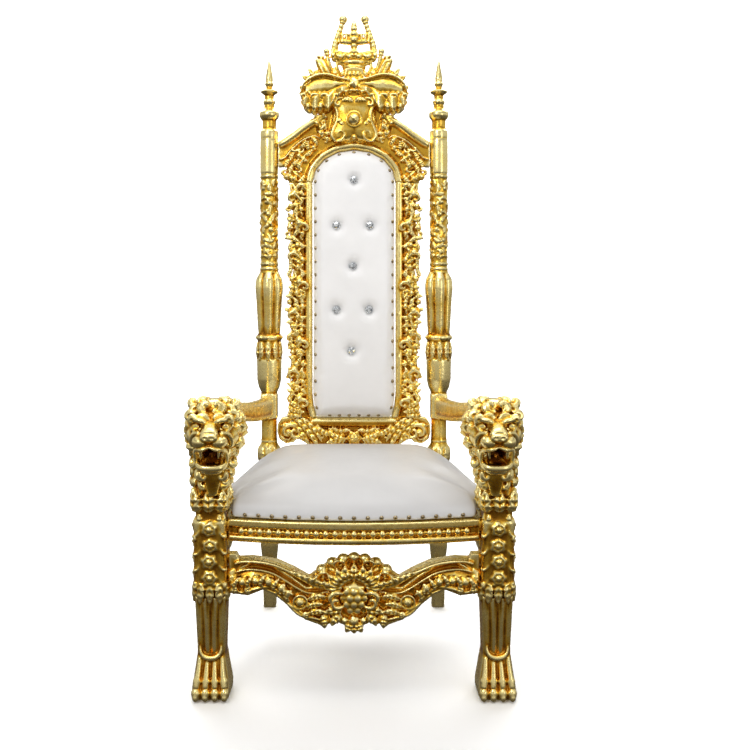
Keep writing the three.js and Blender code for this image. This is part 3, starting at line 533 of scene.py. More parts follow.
def post_carving():
    """Low leaves and flowers round the upper column, and leaf cups round the vase."""
    low, high = post_z(0.408), post_z(0.64)
    dice = random.Random(7)
    spots = []
    rows = 15
    for row in range(rows):
        for k in range(7):
            angle = 2 * math.pi * (k + 0.5 * (row % 2) + 0.3 * dice.random()) / 7
            z = low + (high - low) * (row + 0.5) / rows
            spots.append((round_post(angle, z, -0.5), way_out(angle)))
    pieces = foliage(spots, 31, 12.5, 5.0)
    centre = np.array([POST_X, REAR_Y, 0.0])
    cups = [(36, post_z(0.112), 35, post_z(0.158), 7), (31, RAIL_TOP + 8, 33, RAIL_TOP + 52, 5)]
    for angle in full_turn(10):
        out = way_out(angle)
        for share, reach, size in ((0.1705, 1.46, 4.6), (0.152, 1.34, 4.0)):
            pieces.append(ball(centre + out * reach * POST_RADIUS + UP * post_z(share), size, 12, 8))
        for reach, foot, tip_reach, tip, depth in cups:
            root, end = centre + out * reach + UP * foot, centre + out * tip_reach + UP * tip
            pieces.append(leaf(root, end, 20, depth, outward=out))
    return pieces


def rear_post():
    shaft = turned(post_rows(), post_shape, (POST_X, REAR_Y), 84)
    return carve("carved_post_right", [shaft, *post_carving()], 2.1, POST_MOST, leaning=True, smooth=1)


# front legs, built round their own axis

def paw_row(z, half, front, groove):
    """One outline of the paw or shaft: toes, tendons or flutes in front, a rounded square behind."""
    u = np.linspace(-1, 1, 49)
    folds = groove * (1 - np.abs(np.sin(2 * math.pi * (u + 1))) ** 0.6)
    corner = 0.16 * half * np.abs(u) ** 5
    face = np.stack([u * half, front + folds + corner, np.full_like(u, z)], -1)
    angle = np.linspace(0.06, math.pi - 0.06, 33)
    back_x = np.sign(np.cos(angle)) * np.abs(np.cos(angle)) ** 0.5 * half * 1.04
    back_y = np.abs(np.sin(angle)) ** 0.5 * half
    back = np.stack([back_x, back_y, np.full_like(back_x, z)], -1)
    return np.vstack([face, back])


def paw_and_shaft():
    """A fluted shaft with a rounded lip over a paw of four toes with knuckles and broad tendons."""
    ankle = 0.225 * RAIL_TOP
    top = 0.57 * RAIL_TOP
    rows = [(0, 0.94, -49, 2), (3, 1.0, -54, 3), (12, 1.05, -58, 6), (0.26 * ankle, 1.06, -58, 8),
            (0.36 * ankle, 1.03, -56, 7), (0.5 * ankle, 0.98, -50, 8), (0.78 * ankle, 0.89, -41, 7),
            (ankle, 0.82, -36, 5), (1.1 * ankle, 0.78, -34, 4), (1.3 * ankle, 0.79, -36, 7),
            (top, 0.9, -39, 7)]
    z = np.linspace(0, top, 130)
    half, front, groove = between(rows, z)
    lip = 0.6 * COLUMN_HALF
    edge = [(-1, -33, 38), (-0.9, -36, 16), (-0.4, -39, 4), (0.4, -39, 4), (0.9, -36, 16), (1, -33, 38)]
    pieces = [
        skin([paw_row(*row) for row in zip(z, half * COLUMN_HALF, front, groove)]),
        sweep([(x * lip, y, ankle + up) for x, y, up in edge], [3, 9, 14, 14, 9, 3], [5, 11, 15, 15, 11, 5],
              count=40),
    ]
    tendon = [(0.84, -31, 1.0), (0.9, -39, 0.74), (0.98, -47, 0.52), (1.04, -52, 0.34)]
    bumps = [(1.0, -48, 0.47, (10.5, 10, 12)), (1.07, -54, 0.2, (11.5, 12.5, 15)),
             (1.08, -60, 0.12, (8, 8.5, 10))]
    for across in (-0.75, -0.25, 0.25, 0.75):
        x = across * COLUMN_HALF
        path = [(share * x, y, up * ankle) for share, y, up in tendon]
        pieces.append(sweep(path, [9, 13, 16, 18], [10, 17, 20, 20]))
        pieces += [ball([share * x, y, up * ankle], size) for share, y, up, size in bumps]
    return pieces


def around(half, angle, z, out=0.0):
    """A point on the rounded square column, or so far out of it."""
    reach = half * float(squarish(np.array(angle), 6)) + out
    return np.array([reach * math.sin(angle), -reach * math.cos(angle), z])


def way_out(angle):
    return np.array([math.sin(angle), -math.cos(angle), 0.0])


def hanging_leaves(half, top, foot, count, width, depth, lift=4.0):
    """A collar of leaves that hang or stand round the column."""
    pieces = []
    for angle in full_turn(count):
        root, tip = around(half, angle, top), around(half, angle, foot)
        pieces.append(leaf(root, tip, width, depth, lift=lift, outward=way_out(angle)))
    return pieces


def within(piece, reach):
    """Keeps a piece's points inside a square column."""
    points = piece[0].copy()
    points[:, :2] = np.clip(points[:, :2], -reach, reach)
    return points, piece[1]


def leg_column():
    """The block with four round roses on each face between curved leaves, over a collar of leaves."""
    top = COLUMN_TOP - 14
    height = top - COLUMN_FOOT
    half = 0.93 * COLUMN_HALF
    rows = [(COLUMN_FOOT - 20, 0.86 * half), (COLUMN_FOOT - 4, half), (top - 4, half),
            (top + 2, 0.88 * half), (COLUMN_TOP + 16, 0.88 * half)]
    pieces = [turned(rows, lambda a, z: squarish(a) + 0 * z, sides=72, step=3)]
    pieces += hanging_leaves(0.9 * COLUMN_HALF, COLUMN_FOOT + 8, 0.54 * RAIL_TOP, 12, 26, 7)
    for rope in full_turn(12) + math.pi / 12:
        pieces.append(stud(around(0.92 * COLUMN_HALF, rope, COLUMN_FOOT + 7), 6, 5, way_out(rope)))
    dice = random.Random(17)
    for angle in full_turn(4):
        across = np.array([math.cos(angle), math.sin(angle), 0.0])
        out = way_out(angle)
        for row in range(4):
            z = COLUMN_FOOT + height * (0.13 + 0.25 * row)
            centre = around(half, angle, z, -2) + across * dice.uniform(-2, 2) + UP * dice.uniform(-2, 2)
            pieces.append(flower(centre, 21, 9, out, petals=6, turn=0.7 * row, heart=0.2))
            pieces.append(hoop(centre + out * 4, across, 13, 4.5, 6, out, 19, 36))
            pieces.append(ball(centre + out * 5, 6.5, 14, 10))
            for hand in (-1, 1):
                edge = centre + across * hand * 24 + UP * (12 + dice.uniform(-4, 4)) - out * 4
                scroll = curl(edge, -UP - 0.1 * hand * across, 58, 10, 10, -hand, 0.42, out, ROUND, 2)
                root, tip = edge + UP * 2 - across * hand * 4, edge + UP * 20 - across * hand * 2
                side_leaf = leaf(root, tip, 16, 6, 3 * hand, 2, 0, out)
                pieces += [within(scroll, half + 2), within(side_leaf, half + 2)]
    return pieces


def on_head(x, y, z):
    return HEAD_CENTRE + np.array([x, y, z]) * HEAD


def chest():
    """The rising breast with collars of leaves and rows of locks, and the throat."""
    foot = COLUMN_TOP + 10
    rows = [(0.1, 0.8, 0), (0.32, 0.86, 0.15), (0.46, 0.92, 0.3), (0.6, 0.98, 0.5), (0.75, 1.05, 0.7),
            (0.92, 1.12, 0.95)]
    z = np.linspace(0.1, 0.92, 30)
    angle = full_turn(60)
    rings = []
    for rise, size, move in zip(z, *between(rows, z)):
        x = move * HEAD_CENTRE[0] + size * COLUMN_HALF * np.cos(angle)
        y = move * HEAD_CENTRE[1] + 2 + 0.95 * size * COLUMN_HALF * np.sin(angle)
        rings.append(np.stack([x, y, np.full(60, foot + rise * HEAD)], -1))
    pieces = [skin(rings)]
    pieces += hanging_leaves(0.9 * COLUMN_HALF, foot, foot + 0.3 * HEAD, 9, 38, 14)
    pieces += hanging_leaves(0.88 * COLUMN_HALF, foot + 0.13 * HEAD, foot - 0.02 * HEAD, 11, 26, 10, 2)
    dice = random.Random(5)
    for row in range(4):
        share = 0.36 + 0.14 * row
        size, move = between(rows, share)
        reach = size * COLUMN_HALF
        for k in range(13):
            angle = 2 * math.pi * (k + 0.5 * (row % 2)) / 13
            if abs(math.atan2(math.sin(angle), math.cos(angle))) < 0.24 + 0.05 * row:
                continue
            side = 1 if math.sin(angle) > 0 else -1
            start = np.array([move * HEAD_CENTRE[0] + reach * math.sin(angle),
                              move * HEAD_CENTRE[1] + 2 - 0.95 * reach * math.cos(angle),
                              foot + (share + 0.12) * HEAD])
            hand = side if k % 2 else -side
            long = 46 + 8 * dice.random()
            turns = 0.6 + 0.25 * dice.random()
            out = way_out(angle)
            pieces.append(curl(start, [0.35 * side, 0, -1], long, 20, 20, hand, turns, out, lift=4))
    throat = head_bar([(0, -0.26, -0.42), (0, -0.235, -0.58), (0.01, -0.2, -0.72), (0.02, -0.17, -0.86)],
                      (0.34, 0.26, 0.2, 0.14), (0.1, 0.12, 0.12, 0.1))
    return [*pieces, moved(throat, HEAD_CENTRE)]


def mane():
    """Thick locks that wind round the head in rows, on a rounded base."""
    rings = [(0.36, 0.2), (0.3, 0.34), (0.15, 0.41), (0.0, 0.42), (-0.12, 0.38), (-0.22, 0.28), (-0.28, 0.12)]
    angle = full_turn(60)
    base = []
    for y, reach, _ in curve([[y, reach, 0] for y, reach in rings], 24):
        ring = np.array([reach * 0.88 * np.cos(angle), 0 * angle, reach * 1.05 * np.sin(angle)]) * HEAD
        base.append(np.stack([*(on_head(0, y, 0)[:, None] + ring)], -1))
    pieces = [skin(base)]
    dice = random.Random(11)
    rows = [(-0.25, 0.27, 12, 0.23, 0.095), (-0.16, 0.34, 13, 0.26, 0.11), (-0.04, 0.385, 14, 0.28, 0.115),
            (0.09, 0.4, 14, 0.28, 0.12), (0.22, 0.36, 13, 0.26, 0.12)]
    for index, (y, reach, count, length, width) in enumerate(rows):
        for k in range(count):
            a = 2 * math.pi * (k + 0.5 * (index % 2)) / count + 0.12 * dice.random()
            x, z = math.cos(a), math.sin(a)
            if index == 0 and z < -0.3:
                continue
            side = 1 if x > 0 else -1
            hand = side if k % 2 else -side
            start = on_head(reach * 0.86 * x, y, reach * 1.02 * z)
            out = unit([x, -0.85 + 0.28 * index, z])
            around_head = np.array([-z, 0.0, x]) * (-side if z > 0.1 else side)
            heading = around_head * 0.9 + np.array([0.5 * x, 0.15, 0.5 * z - 0.35])
            long = length * HEAD * (0.85 + 0.3 * dice.random())
            turns = 0.7 + 0.3 * dice.random()
            pieces.append(curl(start, heading, long, width * HEAD, None, hand, turns, out, lift=4))
    return pieces


def on_face(rows):
    """Places or measures on the head, given as shares of its size."""
    return np.array(rows, float) * HEAD


def head_bar(path, widths, depths, outward=FRONT, count=24):
    return sweep(on_face(path), on_face(widths), on_face(depths), outward, count=count)


def head_balls(rows):
    return [ball(on_face(centre), on_face(radii), sides, bands) for centre, radii, sides, bands in rows]


def head_curls(rows):
    return [curl(on_face(start), heading, length * HEAD, width * HEAD, None, hand, turns, outward)
            for start, heading, length, width, hand, turns, outward in rows]


def face():
    """A lion's face: curled brow, short broad nose, muzzle pads and a square open mouth with fangs."""
    middle = head_balls([
        ((0, -0.12, 0.1), (0.3, 0.27, 0.28), 32, 20),
        ((0, 0, -0.3), (0.25, 0.2, 0.17), 28, 16),
        ((0, -0.585, 0.02), (0.12, 0.05, 0.055), 20, 12),
        ((0, -0.42, -0.02), (0.21, 0.17, 0.1), 28, 16),
        ((0, -0.34, -0.48), (0.15, 0.11, 0.06), 20, 12),
    ])
    middle += [
        head_bar([(0, -0.36, 0.2), (0, -0.43, 0.14), (0, -0.5, 0.09), (0, -0.56, 0.05)],
                 (0.15, 0.18, 0.22, 0.26), (0.08, 0.12, 0.15, 0.12)),
        head_bar([(-0.19, -0.22, -0.34), (-0.18, -0.38, -0.4), (-0.1, -0.46, -0.42), (0.1, -0.46, -0.42),
                  (0.18, -0.38, -0.4), (0.19, -0.22, -0.34)], [0.07] * 6, [0.09] * 6, UP, 44),
    ]
    middle += head_curls([
        ((0.02 * hand, y, z), (0.3 * hand, -0.2, 1), 0.26, 0.1, hand, 0.9, (0, -1, 0.7))
        for y, z, hand in ((-0.4, 0.2, 1), (-0.33, 0.29, -1), (-0.27, 0.36, 1))
    ])
    half = head_balls([
        ((0.115, -0.48, -0.05), (0.125, 0.12, 0.09), 24, 16),
        ((0.25, -0.2, -0.02), (0.11, 0.14, 0.13), 24, 16),
        ((0.195, -0.345, 0.13), (0.06, 0.05, 0.045), 20, 12),
    ])
    half += [
        head_bar([(0.05, -0.42, 0.18), (0.12, -0.42, 0.215), (0.21, -0.38, 0.23), (0.3, -0.28, 0.19)],
                 (0.06, 0.08, 0.08, 0.04), (0.06, 0.1, 0.1, 0.04)),
        head_bar([(0.12, -0.41, 0.12), (0.17, -0.39, 0.075), (0.23, -0.37, 0.08), (0.28, -0.31, 0.13)],
                 (0.03, 0.05, 0.05, 0.03), (0.03, 0.06, 0.06, 0.03)),
        head_bar([(0.14, -0.46, 0.06), (0.22, -0.38, 0.03), (0.27, -0.32, -0.06), (0.26, -0.28, -0.16)],
                 (0.06, 0.08, 0.08, 0.05), (0.06, 0.09, 0.09, 0.05)),
        head_bar([(0, -0.56, -0.11), (0.09, -0.57, -0.145), (0.165, -0.5, -0.155), (0.2, -0.42, -0.19),
                  (0.21, -0.36, -0.28), (0.2, -0.34, -0.4)],
                 (0.03, 0.05, 0.055, 0.055, 0.055, 0.05), (0.03, 0.05, 0.06, 0.065, 0.065, 0.06), count=30),
        head_bar([(0.12, -0.5, -0.14), (0.12, -0.5, -0.21), (0.11, -0.49, -0.29)],
                 (0.055, 0.04, 0.014), (0.055, 0.04, 0.014), count=10),
        *(stud(on_face([0.07 + 0.035 * i, -0.595 + 0.03 * i, -0.025 - 0.03 * j]), 1.6, 1.4,
               unit([0.3, -1, 0]))
          for i in range(3) for j in range(2)),
    ]
    half += head_curls([
        ((0.16, -0.42, 0.2), (0.6, 0, 1), 0.3, 0.08, 1, 1.0, (0.3, -1, 0.2)),
        ((0.27, -0.33, 0.12), (0.3, 0, 1), 0.3, 0.08, -1, 1.0, (0.6, -1, 0.1)),
        ((0.03, -0.4, 0.22), (0.5, 0, 1), 0.28, 0.09, 1, 0.9, (0.1, -1, 0.5)),
        ((0.07, -0.34, 0.31), (1, 0, 0.8), 0.28, 0.09, -1, 0.9, (0.3, -1, 0.4)),
        ((0.22, -0.28, 0.28), (1, 0, 0.6), 0.28, 0.09, 1, 0.9, (0.4, -1, 0.4)),
        ((0.03, -0.28, 0.39), (1, 0, 0.6), 0.28, 0.1, 1, 0.85, (0.1, -0.8, 0.6)),
        ((0.16, -0.24, 0.38), (1, 0, 0.3), 0.28, 0.1, 1, 0.85, (0.4, -0.8, 0.6)),
        ((0.06, -0.14, 0.46), (1, 0, 0.3), 0.26, 0.11, 1, 0.8, (0.1, -0.6, 0.9)),
        ((0.24, -0.12, 0.37), (1, 0, 0.2), 0.24, 0.11, -1, 0.8, (0.5, -0.7, 0.6)),
        ((0.28, -0.24, -0.02), (0.2, 0, -1), 0.28, 0.09, 1, 0.8, (0.7, -1, 0)),
        ((0.23, -0.26, -0.18), (0.1, 0, -1), 0.28, 0.09, 1, 0.8, (0.7, -1, 0)),
        ((0.22, -0.24, -0.34), (0.1, 0, -1), 0.26, 0.09, -1, 0.8, (0.6, -1, 0)),
        ((0.17, -0.26, -0.5), (0.3, 0, -1), 0.24, 0.085, 1, 0.7, (0.3, -1, -0.2)),
    ])
    return [moved(p, HEAD_CENTRE) for p in [*middle, *both(half)]]


def dent(points, centre, reach, depth):
    """Pushes the points near a place backwards, with a soft rim."""
    distance = np.linalg.norm(points - centre, axis=1)
    share = np.clip(1 - (distance / reach) ** 2, 0, 1) ** 2
    return points - FRONT * (depth * share)[:, None]


def front_leg():
    placed = []
    for points, faces in [*paw_and_shaft(), *leg_column(), *chest(), *mane(), *face()]:
        points = points.copy()
        points[:, 1] = np.minimum(points[:, 1], MANE_BACK)
        placed.append((points + np.array([LEG_X, FRONT_Y, 0.0]), faces))
    made = carve("carved_leg_right", placed, 2.0, LEG_MOST)
    at = np.array([LEG_X, FRONT_Y + Y_STEP, 0.0])
    points = dent(points_of(made) * 1000, at + on_head(0, -0.24, -0.28), 30, 26)
    pits = [(0.2, -0.4, 0.13, 5, 2.5), (0.05, -0.635, 0.02, 7, 5.0), (0.115, -0.42, 0.12, 9, 3.0)]
    for side in (-1, 1):
        for x, y, z, reach, depth in pits:
            points = dent(points, at + on_head(x * side, y, z), reach, depth)
    set_points(made, points / 1000)
    # painted shade inside the open mouth and under the jaw
    paint_shade_at(made, at + on_head(0, -0.18, -0.28), on_face([0.19, 0.26, 0.13]))
    paint_shade_at(made, at + on_head(0.01, -0.22, -0.66), on_face([0.11, 0.16, 0.24]), -0.55)
    return made


# chair back

def on_back(x, z, rise=0.0):
    return np.array([x, BOARD_FRONT - rise, z], float)


def crest_z(share):
    return PANEL_SPRING + share * CREST_HEIGHT


def on_crest(x, share, rise=0.0):
    return on_back(x, crest_z(share), rise)


def crest_bar(path, widths, depths, section=ROUND, count=24):
    """A stem on the crest; the path holds x, the share of the crest's height and the rise."""
    return sweep([on_crest(*place) for place in path], widths, depths, section=section, count=count)


def panel_half_at(z):
    """Half the panel's width, which narrows a little at its foot."""
    waist = 0.1 * (PANEL_SPRING - PANEL_FOOT)
    low = max(0.0, 1 - (z - PANEL_FOOT) / waist)
    return PANEL_HALF - 13 * low * low


def plain_moulding(stations):
    """The smooth rounded moulding along the panel; stations hold a point and the way out of the panel."""
    profile = np.array([[0, -6], [0, 4], [1.5, 7.5], [4, 10.5], [8, 12.6], [12, 13], [16, 11.5], [19, 8],
                        [20, 5.5], [21.5, 6], [PLAIN_MOULDING, 4.5], [PLAIN_MOULDING, -6]])
    rise = profile[:, 1:] * FRONT
    return skin([np.asarray(at) + profile[:, :1] * np.asarray(out) + rise for at, out in stations])


def stile_carving():
    """Dense irregular leaves, scrolls and flowers beside the smooth moulding."""
    foot, top = PANEL_FOOT + 2, PANEL_SPRING - 2
    inner = PANEL_HALF + PLAIN_MOULDING
    stations = [(on_back(panel_half_at(z) + 0.4, z), (1, 0, 0))
                for z in np.linspace(foot - 1.8, top + 1.8, 40)]
    pieces = [plain_moulding(stations)]
    dice = random.Random(23)
    rows = 48
    spots = []
    for row in range(rows):
        z = foot + (top - foot) * (row + 0.5) / rows
        bulge = 4 * math.sin(row * 0.9) + 3 * math.sin(row * 0.37)
        for column in range(3):
            x = inner + 9 + 16 * column + dice.uniform(-4, 4) + 0.35 * column * bulge
            spots.append((on_back(x, z + dice.uniform(-5, 5), 6.5 + 2 * (column == 1)), FRONT))
    pieces += foliage(spots, 29, 13.5, 11.0)
    for k in range(8):
        z = foot + (top - foot) * (k + 0.55) / 8
        hand = 1 if k % 2 else -1
        root = on_back(inner + 20 - 8 * hand, z - 20, 10)
        pieces.append(curl(root, [0.4 * hand, 0, 1], 84, 13, 16, hand, 0.95, section=ROUND, lift=4))
        pieces.append(flower(on_back(inner + 24 + 8 * hand, z + 6, 9), 14, 13, petals=6, layers=3, turn=k))
    fan = [((inner + 10, foot + 4 + 12 * k, 7), (inner + 54 - 3 * k, foot + 8 + 22 * k, 5), 24, 13, 4, 4, 4)
           for k in range(3)]
    return pieces + leaves(on_back, fan)


def back_stile():
    pieces = [node_upright("back_stile_right"), *stile_carving()]
    clipped = [clip_z(p, PANEL_FOOT + 0.2, PANEL_SPRING - 0.2) for p in pieces]
    return carve("carved_stile_right", clipped, 1.9, STILE_MOST, leaning=True, smooth=1)


def node_upright(node):
    """A CAD node of the back, stood upright again."""
    points, faces = node_mesh(node)
    rise = points[:, 2] - LEAN_PIVOT
    deep = points[:, 1] - REAR_Y
    cos, sin = math.cos(BACK_LEAN), math.sin(BACK_LEAN)
    upright = points.copy()
    upright[:, 1] = REAR_Y + deep * cos - rise * sin
    upright[:, 2] = LEAN_PIVOT + deep * sin + rise * cos
    return upright, faces


def clip_z(piece, low, high):
    points = piece[0].copy()
    points[:, 2] = np.clip(points[:, 2], low, high)
    return points, piece[1]


def on_lower(x, drop, rise=0.0):
    return on_back(x, LOWER_TOP - drop, rise)


def lower_rail():
    """Leaves and scrolls on either side of a rose, under the smooth moulding."""
    dice = random.Random(3)
    half = [
        curl(on_lower(158, 40, 6), [1, 0, 0.9], 120, 15, 18, 1, 1.0, section=ROUND, lift=4),
        curl(on_lower(150, 52, 6), [1, 0, -0.6], 84, 13, 16, -1, 0.9, section=ROUND, lift=4),
        flower(on_lower(198, 44, 6), 13, 13, layers=3),
    ]
    half += leaves(on_lower, [
        ((26, 66, 8), (76, 40, 9), 24, 13, 6, 4, 5), ((30, 72, 8), (86, 78, 7), 24, 13, -6, 4, 5),
        ((22, 84, 7), (66, 99, 5), 22, 12, -4, 4, 4), ((112, 26, 8), (66, 52, 9), 22, 13, -6, 4, 5),
        ((176, 4, 6), (104, 96, 6), 26, 13, 8, 6, 4), ((160, 2, 6), (96, 74, 8), 22, 13, 8, 5, 4),
        ((192, 10, 5), (132, 90, 5), 22, 12, 6, 5, 3), ((170, 50, 6), (150, 74, 5), 20, 12, 3, 3),
        ((206, 70, 5), (222, 50, 5), 16, 12, 3, 3), ((196, 20, 6), (224, 24, 5), 18, 12, 3, 3),
    ])
    half += [stud(on_lower(40 + 11 * k, 60 - 6 * dice.random(), 9), 4.5, 6) for k in range(7)]
    gaps = [(24, 42), (40, 40), (57, 41), (30, 54), (48, 52), (70, 44), (44, 66), (60, 66), (34, 98),
            (86, 38)]
    half += foliage([(on_lower(x, drop, 5), FRONT) for x, drop in gaps], 29, 15, 13)
    roses = [flower(on_lower(0, 62, 6), 25, 17, petals=6, layers=4), flower(on_lower(0, 92, 5), 12, 9)]
    bar = [(on_lower(x, 27), (0, 0, 1)) for x in np.linspace(-128, 128, 40)]
    pieces = [node_upright("back_lower_rail"), plain_moulding(bar), *both(half), *roses]
    clipped = [clip_z(p, LOWER_TOP - 108, LOWER_TOP) for p in pieces]
    return carve("carved_lower_rail", clipped, 1.9, LOWER_MOST, leaning=True, smooth=1)


def arch_stations(inset, count=64):
    stations = []
    for angle in np.linspace(0, math.pi, count):
        out = unit([math.cos(angle) * ARCH_RISE, 0, math.sin(angle) * PANEL_HALF])
        at = on_back(math.cos(angle) * PANEL_HALF, PANEL_SPRING + math.sin(angle) * ARCH_RISE)
        stations.append((at + out * inset, out))
    return stations


def crest_arch():
    """The thick outer rib, the plain cove, its inner line and the foliage pocket of one shoulder."""
    rib = [(226, 0.222, 3), (212, 0.235, 3), (180, 0.278, 3), (149, 0.325, 3), (119, 0.362, 3),
           (84, 0.395, 3)]
    line = [(226, 0.135, 1), (208, 0.148, 1), (190, 0.19, 1), (165, 0.235, 1), (142, 0.262, 1),
            (120, 0.275, 1), (104, 0.262, 1)]
    pieces = [
        crest_bar(rib, [20, 23, 25, 25, 23, 20], [20, 27, 30, 30, 27, 20], count=60),
        crest_bar(line, [6, 7, 8, 8, 7, 7, 5], [14, 17, 19, 19, 17, 16, 12], count=60),
    ]
    pocket = [(196, 0.03), (180, 0.02), (188, 0.075), (172, 0.06), (178, 0.12), (162, 0.1), (166, 0.155),
              (150, 0.14), (152, 0.19), (138, 0.175), (136, 0.215), (122, 0.205), (120, 0.24), (206, 0.07),
              (200, 0.11), (160, 0.02), (204, 0.03), (186, 0.15), (172, 0.19), (154, 0.225)]
    strip = [(108, 0.395), (92, 0.4), (104, 0.36), (88, 0.365), (98, 0.325), (84, 0.33), (94, 0.29),
             (80, 0.295), (90, 0.26), (77, 0.262), (102, 0.285), (112, 0.35)]
    pieces += foliage([(on_crest(x, share, 5), FRONT) for x, share in pocket], 41, 15, 14)
    return pieces + foliage([(on_crest(x, share, 6), FRONT) for x, share in strip], 43, 13, 13)


def crest_shield():
    """A smooth crowned cartouche with rolled sides, two volutes at its foot and a round boss."""
    edge = [(0, 0.51), (30, 0.515), (58, 0.497), (62, 0.455), (54, 0.41), (55, 0.36), (66, 0.31), (70, 0.27),
            (60, 0.238), (36, 0.236), (14, 0.25), (0, 0.262)]
    rim = np.array([[x, s] for x, s in edge] + [[-x, s] for x, s in edge[-2:0:-1]])
    middle = np.array([0, 0.37])
    rings = []
    for size, rise in ((1, -8), (1, 18), (0.95, 23), (0.8, 26), (0.5, 29), (0.15, 30)):
        rings.append([on_crest(*(middle + (at - middle) * size), rise) for at in rim])
    roll = [(x - 4, s, 22) for x, s in edge[2:9]]
    half = [
        crest_bar(roll, [8, 10, 11, 10, 11, 12, 9], [8, 11, 12, 11, 12, 12, 9], count=60),
        curl(on_crest(60, 0.238, 22), [-1, 0, 0.05], 96, 10, 12, 1, 1.15, section=ROUND, lift=2),
        curl(on_crest(30, 0.492, 25), [1, 0, 0.1], 70, 10, 10, 1, 1.0, section=ROUND, lift=2),
        leaf(on_crest(4, 0.475, 25), on_crest(38, 0.475, 25), 18, 8, -5, 4, 2),
        leaf(on_crest(28, 0.33, 26), on_crest(50, 0.385, 24), 14, 6, 3, 3, 1),
    ]
    circle = [(22 * math.sin(a), 0.367 + 0.0435 * math.cos(a), 28) for a in np.linspace(0, 2 * math.pi, 25)]
    boss = [
        skin(rings),
        crest_bar(circle, [6] * 3, [7] * 3, count=60),
        ball(on_crest(0, 0.367, 27), (18, 13, 18)),
        crest_bar([(-12, 0.388, 34), (0, 0.367, 40), (12, 0.346, 34)], [5, 7, 5], [4, 5, 4], count=14),
        stud(on_crest(0, 0.262, 22), 7, 8),
    ]
    return boss + both(half)


def crest_mantle():
    """One lobe of the cloth mantle: an arched rim, a smooth drape, curls and bulging pleats."""
    rim = [(14, 0.6, 24), (44, 0.612, 25), (84, 0.632, 26), (120, 0.622, 24), (148, 0.585, 20),
           (160, 0.535, 14)]
    pieces = [crest_bar(rim, [6, 8, 9, 9, 8, 6], [12, 16, 18, 18, 15, 10], count=70)]
    xs = np.linspace(14, 158, 120)
    top = between(rim, xs)[0]
    hem = np.interp(xs, [14, 36, 56, 70, 94, 124, 150, 160],
                    [0.53, 0.52, 0.49, 0.43, 0.417, 0.412, 0.432, 0.5])
    pleat = np.abs(np.sin((xs - 14) / 144 * math.pi * 7.5)) ** 0.7
    hem = hem - 0.01 * pleat
    ends = np.clip((160 - xs) / 16, 0.35, 1)
    rows = [(0.0, -12, 0), (0.0, 20, 0), (0.06, 20, 0), (0.14, 23, 0), (0.24, 26, 0), (0.34, 27, 0),
            (0.42, 25, 0), (0.5, 22, 0), (0.6, 21, 0), (0.7, 22, 6), (0.78, 24, 11), (0.86, 24, 13),
            (0.94, 20, 12), (0.985, 13, 9), (1.0, 4, 0), (1.0, -12, 0)]
    drape = []
    for x, high, low, fold, end in zip(xs, top, hem, pleat, ends):
        rises = [rise if rise < 0 else (rise + swell * fold) * end for _, rise, swell in rows]
        drape.append([on_crest(x, high + (low - high) * row[0], rise) for row, rise in zip(rows, rises)])
    pieces.append(skin(drape))
    for k in range(6):
        x = 66 + 15 * k
        hand = 1 if k % 2 else -1
        start = on_crest(x, 0.492, 23)
        pieces.append(curl(start, [0.4 * hand, 0, 1], 40, 10, 14, hand, 0.95, section=ROUND, lift=4))
        pieces.append(ball(on_crest(x + 7, 0.522, 25), (4.5, 5, 4.5), 12, 8))
    return pieces + leaves(on_crest, [
        ((100, 0.6, 6), (138, 0.682, 5), 27, 14, 4, 3, 2), ((88, 0.61, 6), (116, 0.672, 5), 27, 14, 4, 3, 2),
        ((116, 0.6, 6), (157, 0.635, 5), 27, 14, 4, 3, 2), ((138, 0.56, 6), (165, 0.572, 5), 27, 14, 4, 3, 2),
        ((148, 0.53, 4), (166, 0.535, 4), 18, 10, 3, 2), ((146, 0.47, 4), (160, 0.485, 4), 18, 10, 3, 2),
    ])


def crest_patch():
    """The square patch of rosettes between the lobes, in a beaded frame."""
    pieces = [flower(on_crest(17 * i, 0.602 - 0.036 * j, 22), 9.5, 7, petals=4) for i in (-1, 0, 1)
              for j in (0, 1)]
    corners = [(-28, 0.628, 21), (-29, 0.54, 21), (29, 0.54, 21), (28, 0.628, 21)]
    pieces += [crest_bar(ends, [5, 5], [11, 11], count=12) for ends in zip(corners, corners[1:])]
    pieces += [stud(on_crest(8 * k, 0.54, 26), 3.5, 3) for k in range(-3, 4)]
    return pieces + both(leaves(on_crest, [
        ((4, 0.532, 18), (34, 0.505, 22), 16, 9, -4, 4, 3), ((28, 0.53, 18), (62, 0.52, 24), 15, 9, 4, 4, 3),
        ((34, 0.57, 16), (46, 0.505, 22), 13, 9, 3, 3, 3),
    ]))


